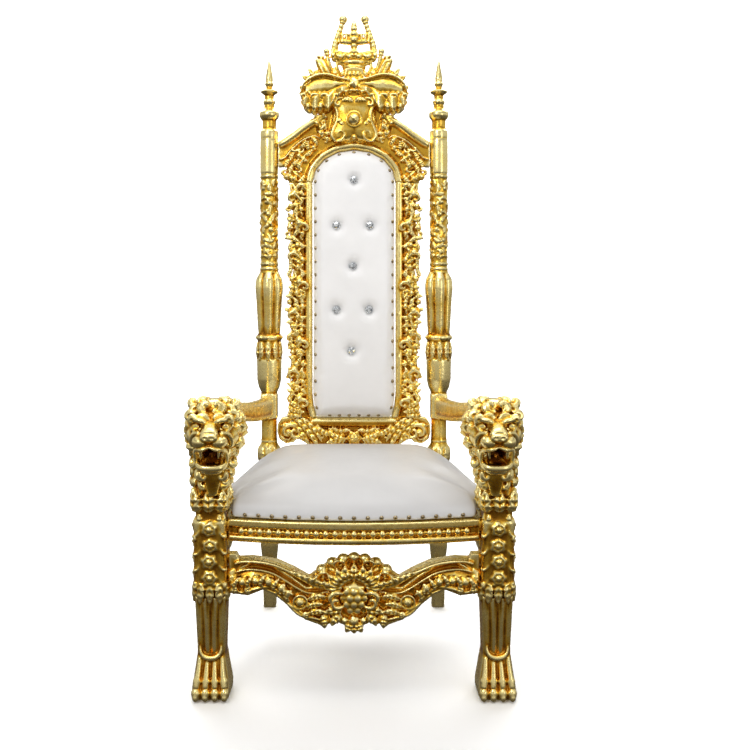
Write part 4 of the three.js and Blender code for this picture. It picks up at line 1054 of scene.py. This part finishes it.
def crest_plumes():
    """Blunt fluted horns, ball spikes and thin arms between the mantle and the crown."""
    return [
        crest_bar([(72, 0.6, 2), (83, 0.645, 6), (92, 0.682, 6), (99, 0.706, 5), (104, 0.718, 4)],
                  [28, 31, 31, 30, 27], [22, 27, 27, 25, 20], STRANDS, 30),
        crest_bar([(62, 0.6, 2), (70, 0.66, 4), (78, 0.72, 3), (82, 0.765, 2)],
                  [19, 17, 14, 11], [17, 16, 13, 11]),
        crest_bar([(30, 0.695, 4), (46, 0.708, 6), (60, 0.735, 6), (71, 0.75, 5)],
                  [9, 8, 8, 7], [11, 10, 9, 8]),
        crest_bar([(34, 0.63, 2), (46, 0.655, 5), (52, 0.7, 5), (44, 0.73, 4)],
                  [11, 11, 10, 8], [12, 12, 11, 9]),
        ball(on_crest(101, 0.715, 4), (15, 12, 12)),
        ball(on_crest(110, 0.722, 7), (8, 8, 7)),
        ball(on_crest(83, 0.782, 2), 9.5),
        stud(on_crest(82, 0.762, 2), 9, 5, unit([0.1, -0.05, 1])),
        leaf(on_crest(46, 0.6, 5), on_crest(60, 0.685, 6), 24, 13, 3, 3, 3),
    ]


def crown_half():
    """Half of the open crown: a beaded rod with a ball, a swag with drops, and jewel bumps."""
    rod = [(56, 0.73), (60, 0.78), (57, 0.825), (50, 0.865), (43, 0.905), (35, 0.96)]
    path = curve([on_crest(x, s) for x, s in rod], 30)
    pieces = [sweep(path, [17, 17, 17, 15, 13], [17, 17, 17, 15, 13])]
    pieces += [ball(path[1 + int(3.2 * k)], 11.5 - 0.3 * k, 14, 9) for k in range(9)]
    pieces += [
        stud(on_crest(35, 0.952), 10, 6, unit([-0.2, 0.05, 1])),
        ball([33, BOARD_FRONT + 2, CREST_TOP - 13], 13, 22, 14),
        crest_bar([(50, 0.848, 0), (26, 0.837, 2), (0, 0.834, 2)], [18, 18, 18], [15, 16, 16]),
    ]
    for x in (10, 22, 34, 45):
        pieces.append(crest_bar([(x, 0.835, 4), (x + 1, 0.876, 4)], [10, 8], [12, 10], count=10))
        pieces.append(ball(on_crest(x + 1, 0.88, 4), 5.6, 12, 8))
    for k in range(4):
        x = 10 + 15 * k
        pieces.append(ball(on_crest(x, 0.752 + 0.005 * k, 5), (10, 9, 12), 16, 10))
        pieces.append(leaf(on_crest(x + 4, 0.73, 7), on_crest(x + 9, 0.778 + 0.004 * k, 7), 15, 10, 2, 2, 2))
    return pieces


def crest_crown():
    """The crown's band with pearls, its middle stem with its knobs, and the two halves."""
    angle = full_turn(48)
    rows = [(0.652, 30), (0.657, 36), (0.664, 37), (0.668, 34), (0.68, 34), (0.683, 36.5), (0.689, 36.5),
            (0.692, 34), (0.703, 34.5), (0.706, 39), (0.718, 40), (0.724, 34)]
    rings = []
    for share, radius in rows:
        y = BOARD_FRONT + 4 + 0.62 * radius * np.sin(angle)
        rings.append(np.stack([radius * np.cos(angle), y, np.full(48, crest_z(share))], -1))
    pieces = [skin(rings)]
    pieces += [ball(on_crest(11.5 * k, 0.64, 18 - 0.5 * k * k), (6.6, 7, 9), 16, 10) for k in range(-3, 4)]
    knobs = ((0.78, 14), (0.815, 11), (0.85, 15), (0.885, 13), (0.915, 11))
    pieces += [ball(on_crest(0, share), (size, size, 0.8 * size), 18, 10) for share, size in knobs]
    pieces += [
        crest_bar([(0, s) for s in (0.74, 0.8, 0.86, 0.93)], [24, 20, 18, 15], [20, 18, 16, 13]),
        crest_bar([(0, s) for s in (0.915, 0.935, 0.955, 0.97)], [16, 19, 12, 5], [14, 16, 11, 5]),
        leaf(on_crest(0, 0.735, 8), on_crest(0, 0.8, 7), 28, 12, 0, 3, 2),
    ]
    return pieces + both(crown_half())


def crest_rail():
    arch = plain_moulding(arch_stations(0.4))
    pieces = [node_upright("crest_rail"), arch, *both([*crest_arch(), *crest_mantle(), *crest_plumes()]),
              *crest_shield(), *crest_patch(), *crest_crown()]
    clipped = [clip_z(p, PANEL_SPRING + 0.3, CREST_TOP) for p in pieces]
    # lighter painted shade in the crest's hollows
    return carve("carved_crest", clipped, 1.8, CREST_MOST, leaning=True, smooth=1, deepest_painted_shade=0.35)


# front rail and apron

def bow_at(x):
    """How far the front rail stands forward of its ends."""
    return FRONT_BOW * (1 - (x / RAIL_HALF) ** 2)


def front_rail():
    """A flat band, a row of beads in a hollow and a lower lip, along the bow."""
    face_y = FRONT_Y - 11
    rows = [(-3, RAIL_TOP), (-5, RAIL_TOP - 2), (-5.5, 428), (-3.5, 425.5), (1.5, 425), (3, 423), (3, 407),
            (1.5, 404.5), (-5, 403.5), (-7.5, 401), (-7.8, 396), (-5, 391), (-1, 388), (0, RAIL_BOTTOM)]
    rings = []
    for x in np.linspace(-RAIL_HALF, RAIL_HALF, 110):
        y = face_y - bow_at(x)
        back = [(x, face_y + 30, RAIL_BOTTOM), (x, face_y + 30, RAIL_TOP)]
        rings.append(back + [(x, y + deep, z) for deep, z in rows])
    pieces = [skin(rings)]
    count = int((RAIL_HALF - 12) / BEAD_PITCH)
    for i in range(-count, count + 1):
        x = i * BEAD_PITCH
        pieces.append(ball([x, face_y - bow_at(x) + 0.5, BEAD_Z], (9, 8.5, 9), 16, 10))
        if i < count:
            gap = x + BEAD_PITCH / 2
            pieces.append(ball([gap, face_y - bow_at(gap) + 1.5, BEAD_Z], (2.6, 4.5, 7), 10, 8))
    return carve("carved_front_rail", pieces, 1.8, RAIL_MOST, smooth=1)


def on_apron(x, z, rise=0.0):
    """A place on the apron, by its shares of the half width and of the drop."""
    return np.array([x * APRON_HALF, APRON_FACE - rise, APRON_TOP - z * APRON_DROP])


def apron_arm():
    """One scrolling arm: a bright lip, parallel mouldings, flowers in the hollow and feathered leaves."""
    lip = [(0.95, 0.11), (0.88, 0.08), (0.76, 0.085), (0.64, 0.12), (0.53, 0.19), (0.44, 0.265),
           (0.36, 0.34), (0.27, 0.4), (0.14, 0.39)]
    second = [(0.94, 0.22), (0.85, 0.185), (0.74, 0.195), (0.64, 0.24), (0.54, 0.33), (0.45, 0.42),
              (0.36, 0.48), (0.2, 0.47)]
    lower = [(0.975, 0.45), (0.88, 0.475), (0.79, 0.43), (0.68, 0.405), (0.59, 0.48), (0.52, 0.63),
             (0.43, 0.76), (0.3, 0.81), (0.18, 0.87)]
    taper = np.array([0.6, 1, 1, 1, 0.6])
    pieces = []
    for line, width, depth, rise in ((lip, 10, 24, 4), (second, 6, 15, 3), (lower, 10, 18, 2)):
        pieces.append(sweep([on_apron(x, z, rise) for x, z in line], taper * width, taper * depth, count=80))
    hollow = [(0.5, 0.55), (0.55, 0.455), (0.6, 0.385), (0.72, 0.315), (0.93, 0.345)]
    for k in range(9):
        x = 0.94 - 0.052 * k
        at = on_apron(x, between(hollow, x)[0], 3)
        if k % 2:
            pieces.append(flower(at, 14, 13, layers=3, turn=k))
        else:
            pieces.append(leaf(at + (6, 0, -12), at + (-10, -2, 13), 17, 13, 3, 4, 3))
            pieces.append(leaf(at + (9, 0, 4), at + (-4, -2, -16), 15, 12, -3, 3, 3))
            pieces.append(stud(at + (0, -4, 2), 6, 8))
    pieces += leaves(on_apron, [
        ((0.52 - 0.055 * k, 0.2 + 0.033 * k, 6), (0.33 - 0.035 * k, 0.375 + 0.008 * k, 8), 15, 14, 6, 4, 3)
        for k in range(6)
    ])
    roundel = on_apron(0.43, 0.6, 3)
    pieces += [
        hoop(roundel, (1, 0, 0), 17, 6, 13),
        flower(roundel, 14.5, 12, petals=6, layers=3),
        flower(on_apron(0.97, 0.3), 15, 10, layers=3),
    ]
    inner = [(0.36, 0.56, 0.22, 0.52), (0.37, 0.66, 0.24, 0.62), (0.36, 0.74, 0.22, 0.72),
             (0.62, 0.47, 0.48, 0.5)]
    outer = [(0.25, 0.76, 0.235, 0.94), (0.4, 0.72, 0.385, 0.83), (0.86, 0.4, 0.85, 0.52),
             (0.96, 0.4, 0.965, 0.5)]
    pieces += leaves(on_apron, [((x, z, 3), (tip_x, tip, 6), 19, 13, 4, 4, 3) for x, z, tip_x, tip in inner])
    pieces += leaves(on_apron, [((x, z, 3), (tip_x, tip, 2), 22, 13, 2, 4, 2) for x, z, tip_x, tip in outer])
    return pieces


def shell_way(k):
    """The way out of the shell's hub to one of its lobes, and how far its rim is."""
    angle = math.radians(20 * k)
    reach = 1 / math.hypot(math.sin(angle) / SHELL_WIDE, math.cos(angle) / SHELL_TALL)
    return np.array([math.sin(angle), 0, math.cos(angle)]), reach


def apron_centre():
    """A shell with a lobed, drilled rim over a scaly cartouche, with leaves that fall to the tip."""
    half = []
    hub = on_apron(0, SHELL_HUB, 4)
    for k in range(1, 5):
        out, reach = shell_way(k)
        half.append(leaf(hub + out * 0.3 * reach, hub + out * (reach - 22), 28, 15, 6, 2, 6))
        half.append(ball(hub + out * (reach - 6) - FRONT * 4, (15, 14, 13)))
        hand = 1 if k % 2 else -1
        half.append(curl(hub + out * (reach - 24), out, 46, 11, 17, hand, 1.0, section=ROUND, lift=7))
    half += [
        curl(on_apron(0.08, 0.5, 8), [1, 0, 0.5], 76, 14, 18, 1, 0.95, section=ROUND, lift=5),
        curl(on_apron(0.07, 0.64, 8), [1, 0, -0.4], 72, 13, 17, -1, 0.95, section=ROUND, lift=5),
        flower(on_apron(0.17, 0.83, 4), 11, 9),
    ]
    half += leaves(on_apron, [
        ((0.1, 0.7, 5), (0.24, 0.74, 4), 28, 15, -5, 3, 5),
        ((0.1, 0.76, 5), (0.18, 0.9, 4), 26, 14, -4, 3, 4),
        ((0.03, 0.85, 5), (0.07, 0.98, 4), 24, 13, 2, 3, 3),
    ])
    out, reach = shell_way(0)
    pieces = both(half)
    pieces += [
        leaf(hub + out * 0.3 * reach, hub + out * (reach - 18), 30, 15, 0, 3, 6),
        ball(hub + out * (reach - 5) - FRONT * 4, (15, 14, 13)),
        ball(on_apron(0, 0.58, -2), (34, 17, 40), 32, 20),
        leaf(on_apron(0, 0.84, 6), on_apron(0, 1.0, 3), 28, 14, 0, 3, 2),
        flower(on_apron(0, 0.83, 8), 14, 11, layers=3),
    ]
    for row in range(4):
        for k in range(-1, 2):
            x = 17 * k + (8 if row % 2 else 0)
            z = 0.47 + 0.075 * row
            edge = 1 - (x / 36) ** 2 - ((z - 0.58) * APRON_DROP / 42) ** 2
            if edge > 0.05:
                rise = 15 * math.sqrt(edge) - 2
                pieces.append(ball(on_apron(x / APRON_HALF, z, rise), (9.5, 5, 9.5), 16, 10))
    return pieces


def apron():
    """The solid's own form with the shell's rim drawn in between its lobes, and the carving on it."""
    points, faces = node_mesh("front_apron")
    hub = on_apron(0, SHELL_HUB)
    reach = np.hypot((points[:, 0] - hub[0]) / SHELL_WIDE, (points[:, 2] - hub[2]) / SHELL_TALL)
    shrunk = np.where((reach > 0.9) & (points[:, 2] > hub[2] + 12) & (np.abs(points[:, 0]) < 104), 0.93, 1.0)
    points[:, 0] *= shrunk
    points[:, 2] = hub[2] + (points[:, 2] - hub[2]) * shrunk
    clipped = []
    for points, faces in [(points, faces), *both(apron_arm()), *apron_centre()]:
        points = points.copy()
        points[:, 0] = np.clip(points[:, 0], -APRON_HALF, APRON_HALF)
        clipped.append((points, faces))
    made = carve("carved_apron", clipped, 1.9, APRON_MOST, smooth=1)
    points = points_of(made) * 1000
    # painted shade in the drilled holes between the shell's lobes
    for k in range(-4, 4):
        out, reach = shell_way(k + 0.5)
        at = on_apron(0, SHELL_HUB, 14) + (reach - 14) * out + np.array([0, Y_STEP, 0])
        points = dent(points, at, 13, 12)
        paint_shade_at(made, at, 7)
    set_points(made, points / 1000)
    return made


# arms and plain rails

def arm():
    """The moulded arm, sunk from the back of the mane to the post's block."""
    end = REAR_Y + (ARM_REAR_Z - LEAN_PIVOT) * math.tan(BACK_LEAN) - 26.8
    start = FRONT_Y + MANE_BACK - 3.0
    share = np.linspace(0, 1, 90)
    rows = [(0, 0.5, 48), (0.25, 0.42, 50), (0.6, 0.16, 54), (0.88, 0.02, 60), (1, 0, 62)]
    rise, tall = between(rows, share)
    rise = np.convolve(np.pad(rise, 7, mode="edge"), np.ones(15) / 15, mode="valid")
    side = [(0.5, 0.48), (0.9, 0.32), (1.0, 0.12), (0.98, -0.08), (0.86, -0.24), (0.98, -0.36),
            (0.86, -0.46), (0.55, -0.5)]
    profile = curve([*((-x, z) for x, z in side[::-1]), (0, 0.51), *side], 70)
    rings = []
    for s, up, height in zip(share, rise, tall):
        x = LEG_X - 16 + (POST_X - LEG_X + 22) * s
        z = ARM_REAR_Z + up * 126 + profile[:, 1] * height
        y = start + (end - start) * s + s * (z - ARM_REAR_Z) * math.tan(BACK_LEAN)
        rings.append(np.stack([x + profile[:, 0] * 22.5, y, z], -1))
    return carve("carved_arm_right", [skin(rings)], 2.2, ARM_MOST)


def plain_rail(name, node):
    return carve(name, [node_mesh(node)], 2.6, PLAIN_MOST, smooth=3)


# materials

def node_of(tree, kind, **values):
    made = tree.nodes.new(kind)
    for key, value in values.items():
        setattr(made, key, value)
    return made


def new_material(name):
    """A material with its tree, its shader and the coordinates of the piece."""
    material = bpy.data.materials.new(name)
    material.use_nodes = True
    tree = material.node_tree
    return material, tree, tree.nodes["Principled BSDF"], node_of(tree, "ShaderNodeTexCoord")


def noise(tree, place, scale, detail=3.0, rough=0.6):
    made = node_of(tree, "ShaderNodeTexNoise")
    made.inputs["Scale"].default_value = scale
    made.inputs["Detail"].default_value = detail
    made.inputs["Roughness"].default_value = rough
    tree.links.new(place.outputs["Object"], made.inputs["Vector"])
    return made.outputs["Fac"]


def cells(tree, place, scale, feature):
    made = node_of(tree, "ShaderNodeTexVoronoi", feature=feature)
    made.inputs["Scale"].default_value = scale
    tree.links.new(place.outputs["Object"], made.inputs["Vector"])
    return made.outputs["Distance"]


def ramp(tree, source, stops):
    made = node_of(tree, "ShaderNodeValToRGB")
    while len(made.color_ramp.elements) < len(stops):
        made.color_ramp.elements.new(0.5)
    for element, (at, colour) in zip(made.color_ramp.elements, stops):
        element.position = at
        element.color = (*colour, 1.0) if len(colour) == 3 else colour
    tree.links.new(source, made.inputs["Fac"])
    return made.outputs["Color"]


def maths(tree, kind, *values):
    made = node_of(tree, "ShaderNodeMath", operation=kind)
    for socket, value in zip(made.inputs, values):
        if isinstance(value, (int, float)):
            socket.default_value = value
        else:
            tree.links.new(value, socket)
    return made.outputs[0]


def bump(tree, height, strength, distance, before=None):
    made = node_of(tree, "ShaderNodeBump")
    made.inputs["Strength"].default_value = strength
    made.inputs["Distance"].default_value = distance
    tree.links.new(height, made.inputs["Height"])
    if before is not None:
        tree.links.new(before, made.inputs["Normal"])
    return made.outputs["Normal"]


def look(tree, shader, tone, colours, grain, rough):
    """Colours by one pattern and roughness by another, both as stops along the pattern."""
    tree.links.new(ramp(tree, tone, colours), shader.inputs["Base Color"])
    stops = [(at, (value, value, value)) for at, value in rough]
    tree.links.new(ramp(tree, grain, stops), shader.inputs["Roughness"])


def gold_material():
    """Gold leaf with painted light: a painted highlight on what stands out, amber on the flats and painted
    shade in brown in the hollows, with random patches and flecks of tone.
    """
    material, tree, shader, place = new_material("gold_leaf")
    painted_relief_shade = node_of(tree, "ShaderNodeAttribute", attribute_name="painted_relief_shade")
    patches = noise(tree, place, 22)
    flecks = noise(tree, place, 170, 2)
    # tone: painted highlight and shade from how far each point stands out, plus random patches and flecks
    tone = maths(tree, "MULTIPLY_ADD", painted_relief_shade.outputs["Fac"], 0.45, 0.54)
    for pattern, weight in ((patches, 0.4), (flecks, 0.12)):
        change = maths(tree, "MULTIPLY", maths(tree, "SUBTRACT", pattern, 0.5), weight)
        tone = maths(tree, "ADD", tone, change)
    colours = [(0.03, (0.07, 0.02, 0.003)), (0.24, (0.46, 0.2, 0.018)), (0.46, (0.82, 0.47, 0.05)),
               (0.64, (0.95, 0.66, 0.14)), (0.88, (1.0, 0.83, 0.36))]
    grain = maths(tree, "ADD", maths(tree, "MULTIPLY", flecks, 0.5), maths(tree, "MULTIPLY", patches, 0.5))
    look(tree, shader, tone, colours, grain, [(0.3, 0.2), (0.7, 0.34)])
    shader.inputs["Metallic"].default_value = 1.0
    first = bump(tree, cells(tree, place, 60, "DISTANCE_TO_EDGE"), 0.1, 0.0015)
    second = bump(tree, noise(tree, place, 90, 2), 0.22, 0.0015, first)
    tree.links.new(second, shader.inputs["Normal"])
    return material


def brass_material():
    material, tree, shader, place = new_material("aged_brass")
    colours = [(0.35, (0.26, 0.2, 0.12)), (0.65, (0.5, 0.41, 0.26))]
    look(tree, shader, noise(tree, place, 60, 2), colours, noise(tree, place, 200, 2),
         [(0.3, 0.2), (0.7, 0.35)])
    shader.inputs["Metallic"].default_value = 1.0
    return material


def leather_material(name, tone):
    material, tree, shader, place = new_material(name)
    colours = [(0.3, (tone, tone * 0.99, tone * 0.985)), (0.7, (tone * 1.06, tone * 1.05, tone * 1.045))]
    look(tree, shader, noise(tree, place, 9), colours, noise(tree, place, 60), [(0.3, 0.36), (0.7, 0.48)])
    first = bump(tree, cells(tree, place, 620, "F1"), 0.1, 0.0006)
    second = bump(tree, noise(tree, place, 22, 2), 0.1, 0.004, first)
    tree.links.new(second, shader.inputs["Normal"])
    return material


def crystal_material():
    """Foil-backed cut crystal with a clear coat, its base colour painted with random bright glints and dark
    reflections.
    """
    material, tree, shader, place = new_material("cut_crystal")
    # painted glints and dark reflections in the base colour
    colours = [(0.38, (0.22, 0.25, 0.28)), (0.6, (0.97, 0.99, 1.0))]
    look(tree, shader, noise(tree, place, 260, 1), colours, noise(tree, place, 300, 1),
         [(0.3, 0.02), (0.7, 0.08)])
    for name, value in (("Metallic", 0.85), ("IOR", 1.58), ("Coat Weight", 0.6)):
        shader.inputs[name].default_value = value
    return material


GOLD = gold_material()
BRASS = brass_material()
LEATHER = leather_material("white_leather", 0.83)
# the seat's leather is the same white leather as the back's, painted darker as shade
SHADED_SEAT_LEATHER = leather_material("seat_leather_painted_shade", 0.57)
CRYSTAL = crystal_material()


def finish_piece(made, material, slot, *nodes):
    made.data.materials.clear()
    made.data.materials.append(material)
    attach(made, "root")
    if nodes:
        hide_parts(*nodes)
    return made


def place_pair(made, stem, node):
    finish_piece(made, GOLD, "gilded_wood", f"{node}_right")
    finish_piece(mirror_object(made, f"{stem}_left"), GOLD, "gilded_wood", f"{node}_left")


def place_gold():
    place_pair(rear_post(), "carved_post", "rear_post")
    place_pair(front_leg(), "carved_leg", "front_leg")
    place_pair(back_stile(), "carved_stile", "back_stile")
    place_pair(arm(), "carved_arm", "arm")
    place_pair(plain_rail("shaped_side_rail_right", "side_rail_right"), "shaped_side_rail", "side_rail")
    finish_piece(plain_rail("shaped_back_rail", "back_rail"), GOLD, "gilded_wood", "back_rail")
    finish_piece(crest_rail(), GOLD, "gilded_wood", "crest_rail")
    finish_piece(lower_rail(), GOLD, "gilded_wood", "back_lower_rail")
    finish_piece(front_rail(), GOLD, "gilded_wood", "front_rail")
    finish_piece(apron(), GOLD, "gilded_wood", "front_apron")


# upholstery

def inflate(made, voxel, pressure, cap, held):
    """Swells a pad with cloth simulation; held says, for each point, whether it stays."""
    fuse = made.modifiers.new("fuse", "REMESH")
    fuse.mode = "VOXEL"
    fuse.voxel_size = voxel
    applied(made)
    rest = points_of(made)
    group = made.vertex_groups.new(name="held")
    group.add([int(i) for i in np.nonzero(held(rest))[0]], 1.0, "REPLACE")
    cloth = made.modifiers.new("cloth", "CLOTH")
    cloth.settings.use_pressure = True
    cloth.settings.uniform_pressure_force = pressure
    cloth.settings.effector_weights.gravity = 0
    cloth.settings.vertex_group_mass = "held"
    cloth.settings.tension_stiffness = 12
    cloth.settings.bending_stiffness = 4
    for number in range(1, 21):
        bpy.context.scene.frame_set(number)
    applied(made)
    bpy.context.scene.frame_set(1)
    move = points_of(made) - rest
    length = np.linalg.norm(move, axis=1, keepdims=True)
    set_points(made, rest + move * np.minimum(1, cap / np.maximum(length, 1e-9)))
    return made


def soften(made, rounds, levels=1):
    soft = made.modifiers.new("soft", "SMOOTH")
    soft.factor = 0.5
    soft.iterations = rounds
    if levels:
        made.modifiers.new("fine", "SUBSURF").levels = levels
    applied(made)
    made.data.shade_smooth()
    return made


def surface_of(made):
    """Finds the place and slope of a piece in front of a spot, in millimetres of the drawing."""
    graph = bpy.context.evaluated_depsgraph_get()
    graph.update()
    tree = BVHTree.FromObject(made, graph)

    def hit(x, z):
        place, slope, _, _ = tree.ray_cast(Vector((x / 1000, -1.0, z / 1000)), Vector((0, 1, 0)))
        if place is None:
            return None
        return np.array(place) * 1000 - np.array([0.0, Y_STEP, 0.0]), np.array(slope)

    return hit


def nails(name, found):
    """Domed nails in one piece, half sunk into the leather."""
    heads = [stud(place - slope * 1.0, NAIL_RADIUS, NAIL_RISE, slope, 12) for place, slope in found]
    made = mesh_object(name, *merged(heads))
    made.data.shade_smooth()
    return finish_piece(made, BRASS, "gilded_wood")


def seat_cushion():
    points, faces = node_mesh("seat_cushion")
    made = mesh_object("padded_seat", points, faces)
    foot = (RAIL_TOP + 0.3) / 1000
    inflate(made, 0.006, 3.0, 0.008, lambda p: p[:, 2] < foot + 0.028)
    soften(made, 34, 0)
    points = points_of(made)
    back = np.clip((points[:, 1] * 1000 - 60) / 190, 0, 1) ** 1.5
    share = np.clip((points[:, 2] - foot) / SEAT_RISE, 0, 1)
    points[:, 2] -= share * back * (0.009 + 0.016 * np.abs(points[:, 0] / 0.24) ** 2.2)
    points[:, 2] = np.maximum(points[:, 2], foot)
    set_points(made, points)
    hit = surface_of(made)
    spots = [hit(SEAT_NAIL_PITCH * k, RAIL_TOP + 11) for k in range(-9, 10)]
    nails("seat_nails", [spot for spot in spots if spot])
    return finish_piece(made, SHADED_SEAT_LEATHER, "white_leather", "seat_cushion")


def button_centre(place):
    x, share = place
    height = PANEL_SPRING + ARCH_RISE - PANEL_FOOT
    return np.array([x * PANEL_HALF, BOARD_FRONT - PAD_RISE + 9, PANEL_FOOT + share * height])


def pad_nail_spots():
    """Places along the pad's edge strip, upright, as x and z."""
    spots = []
    foot, top = PANEL_FOOT + NAIL_INSET, PANEL_SPRING
    rows = int((top - foot) / BACK_NAIL_PITCH)
    for row in range(rows + 1):
        z = top - row * BACK_NAIL_PITCH
        spots += [(side * (panel_half_at(z) - NAIL_INSET), z) for side in (-1, 1)]
    for k in range(1, 8):
        angle = math.pi * k / 8
        x = math.cos(angle) * (PANEL_HALF - NAIL_INSET)
        spots.append((x, PANEL_SPRING + math.sin(angle) * (ARCH_RISE - NAIL_INSET)))
    width = panel_half_at(PANEL_FOOT) - NAIL_INSET
    return spots + [(width * k / 3.5, foot - 2) for k in np.arange(-2.5, 3)]


def back_pad():
    points, faces = node_mesh("back_pad")
    made = mesh_object("padded_back", points, faces)
    inflate(made, 0.005, 2.0, 0.004, lambda p: p[:, 1] > 10)
    soften(made, 7, 0)
    points = points_of(made) * 1000
    for place in BUTTON_PLACES:
        centre = lean(button_centre(place)[None])[0] + np.array([0.0, Y_STEP - 9, 0.0])
        points = dent(points, centre, 44, 7)
    set_points(made, points / 1000)
    hit = surface_of(made)
    upright = [lean(np.array([[x, BOARD_FRONT - 12, z]]))[0] for x, z in pad_nail_spots()]
    found = [hit(at[0], at[2]) for at in upright]
    nails("back_nails", [spot for spot in found if spot])
    return finish_piece(made, LEATHER, "white_leather", "back_pad")


def crystal(index, place):
    """A brilliant: a small table and steep rows of facets down to a girdle."""
    centre = button_centre(place)
    rows = [(9.0, 0.5, 0), (12.4, -2.6, 0), (12.8, -3.8, 0.5), (9.6, -8.0, 0), (5.0, -10.6, 0.5)]
    rings = []
    for reach, deep, turn in rows:
        angle = (np.arange(8) + turn) / 8 * 2 * math.pi
        y = np.full(8, centre[1] + deep + 1.0)
        rings.append(np.stack([centre[0] + reach * np.cos(angle), y, centre[2] + reach * np.sin(angle)], -1))
    made = mesh_object(f"cut_crystal_{index}", *skin([lean(np.array(ring)) for ring in rings]))
    return finish_piece(made, CRYSTAL, "crystal", f"crystal_button_{index}")


place_gold()
seat_cushion()
back_pad()
for number, spot in enumerate(BUTTON_PLACES, 1):
    crystal(number, spot)


# studio

def stage_plane(name, corners, colour):
    mesh = bpy.data.meshes.new(name)
    mesh.from_pydata(corners, [], [(0, 1, 2, 3)])
    made = bpy.data.objects.new(name, mesh)
    bpy.context.scene.collection.objects.link(made)
    material = bpy.data.materials.new(name)
    material.use_nodes = True
    material.node_tree.nodes["Principled BSDF"].inputs["Base Color"].default_value = (*colour, 1)
    material.node_tree.nodes["Principled BSDF"].inputs["Roughness"].default_value = 0.9
    mesh.materials.append(material)
    return made


def area_light(name, place, target, size, power, colour=(1, 1, 1)):
    data = bpy.data.lights.new(name, "AREA")
    data.shape = "RECTANGLE"
    data.size, data.size_y = size
    data.energy = power
    data.color = colour
    made = bpy.data.objects.new(name, data)
    bpy.context.scene.collection.objects.link(made)
    made.location = place
    made.rotation_euler = (Vector(target) - Vector(place)).to_track_quat("-Z", "Y").to_euler()
    return made


def world_light():
    """A room with a pale horizon, darker bands and a bright ceiling, for the gilding to mirror."""
    world = bpy.data.worlds.new("studio")
    bpy.context.scene.world = world
    world.use_nodes = True
    tree = world.node_tree
    place = node_of(tree, "ShaderNodeTexCoord")
    split = node_of(tree, "ShaderNodeSeparateXYZ")
    tree.links.new(place.outputs["Generated"], split.inputs[0])
    height = maths(tree, "MULTIPLY_ADD", split.outputs["Z"], 0.5, 0.5)
    stops = [(0.0, (0.08, 0.07, 0.06)), (0.3, (0.14, 0.125, 0.11)), (0.42, (0.3, 0.28, 0.26)),
             (0.52, (0.62, 0.61, 0.6)), (0.64, (0.8, 0.8, 0.8)), (0.74, (0.25, 0.25, 0.25)),
             (0.86, (1.0, 1.0, 1.0))]
    colour = ramp(tree, height, stops)
    tree.links.new(colour, tree.nodes["Background"].inputs["Color"])
    tree.nodes["Background"].inputs["Strength"].default_value = 0.85


def studio():
    floor = stage_plane("floor", [(-6, -5, 0), (6, -5, 0), (6, 6, 0), (-6, 6, 0)], (0.96, 0.96, 0.96))
    wall = stage_plane("backdrop", [(-6, 3.2, 0), (6, 3.2, 0), (6, 3.2, 6), (-6, 3.2, 6)], (0.97, 0.97, 0.97))
    wall.visible_glossy = False
    floor.visible_glossy = False
    middle = (0, 0, 0.95)
    area_light("key", (-1.7, -3.0, 3.0), middle, (1.2, 1.2), 34, (1, 0.98, 0.95))
    area_light("fill", (2.4, -2.8, 1.6), middle, (1.0, 1.8), 12)
    area_light("top", (0, -0.6, 3.4), (0, 0.1, 1.0), (2.2, 1.0), 20)
    area_light("back", (0, 2.2, 3.4), (0, 3.2, 0.8), (5, 1.4), 190)
    world_light()


def camera():
    data = bpy.data.cameras.new("camera")
    made = bpy.data.objects.new("camera", data)
    bpy.context.scene.collection.objects.link(made)
    focal, frame_size = 944.0, 750.0
    data.sensor_width = 36.0
    data.lens = focal / frame_size * data.sensor_width
    data.shift_x = (375.0 - 354.0) / frame_size
    data.shift_y = -(375.0 - 302.3) / frame_size
    made.location = (0, -2.555, 1.143)
    made.rotation_euler = (math.radians(90 - 4.2), 0, 0)
    bpy.context.scene.camera = made
    bpy.context.scene.view_settings.view_transform = "Standard"


studio()
camera()
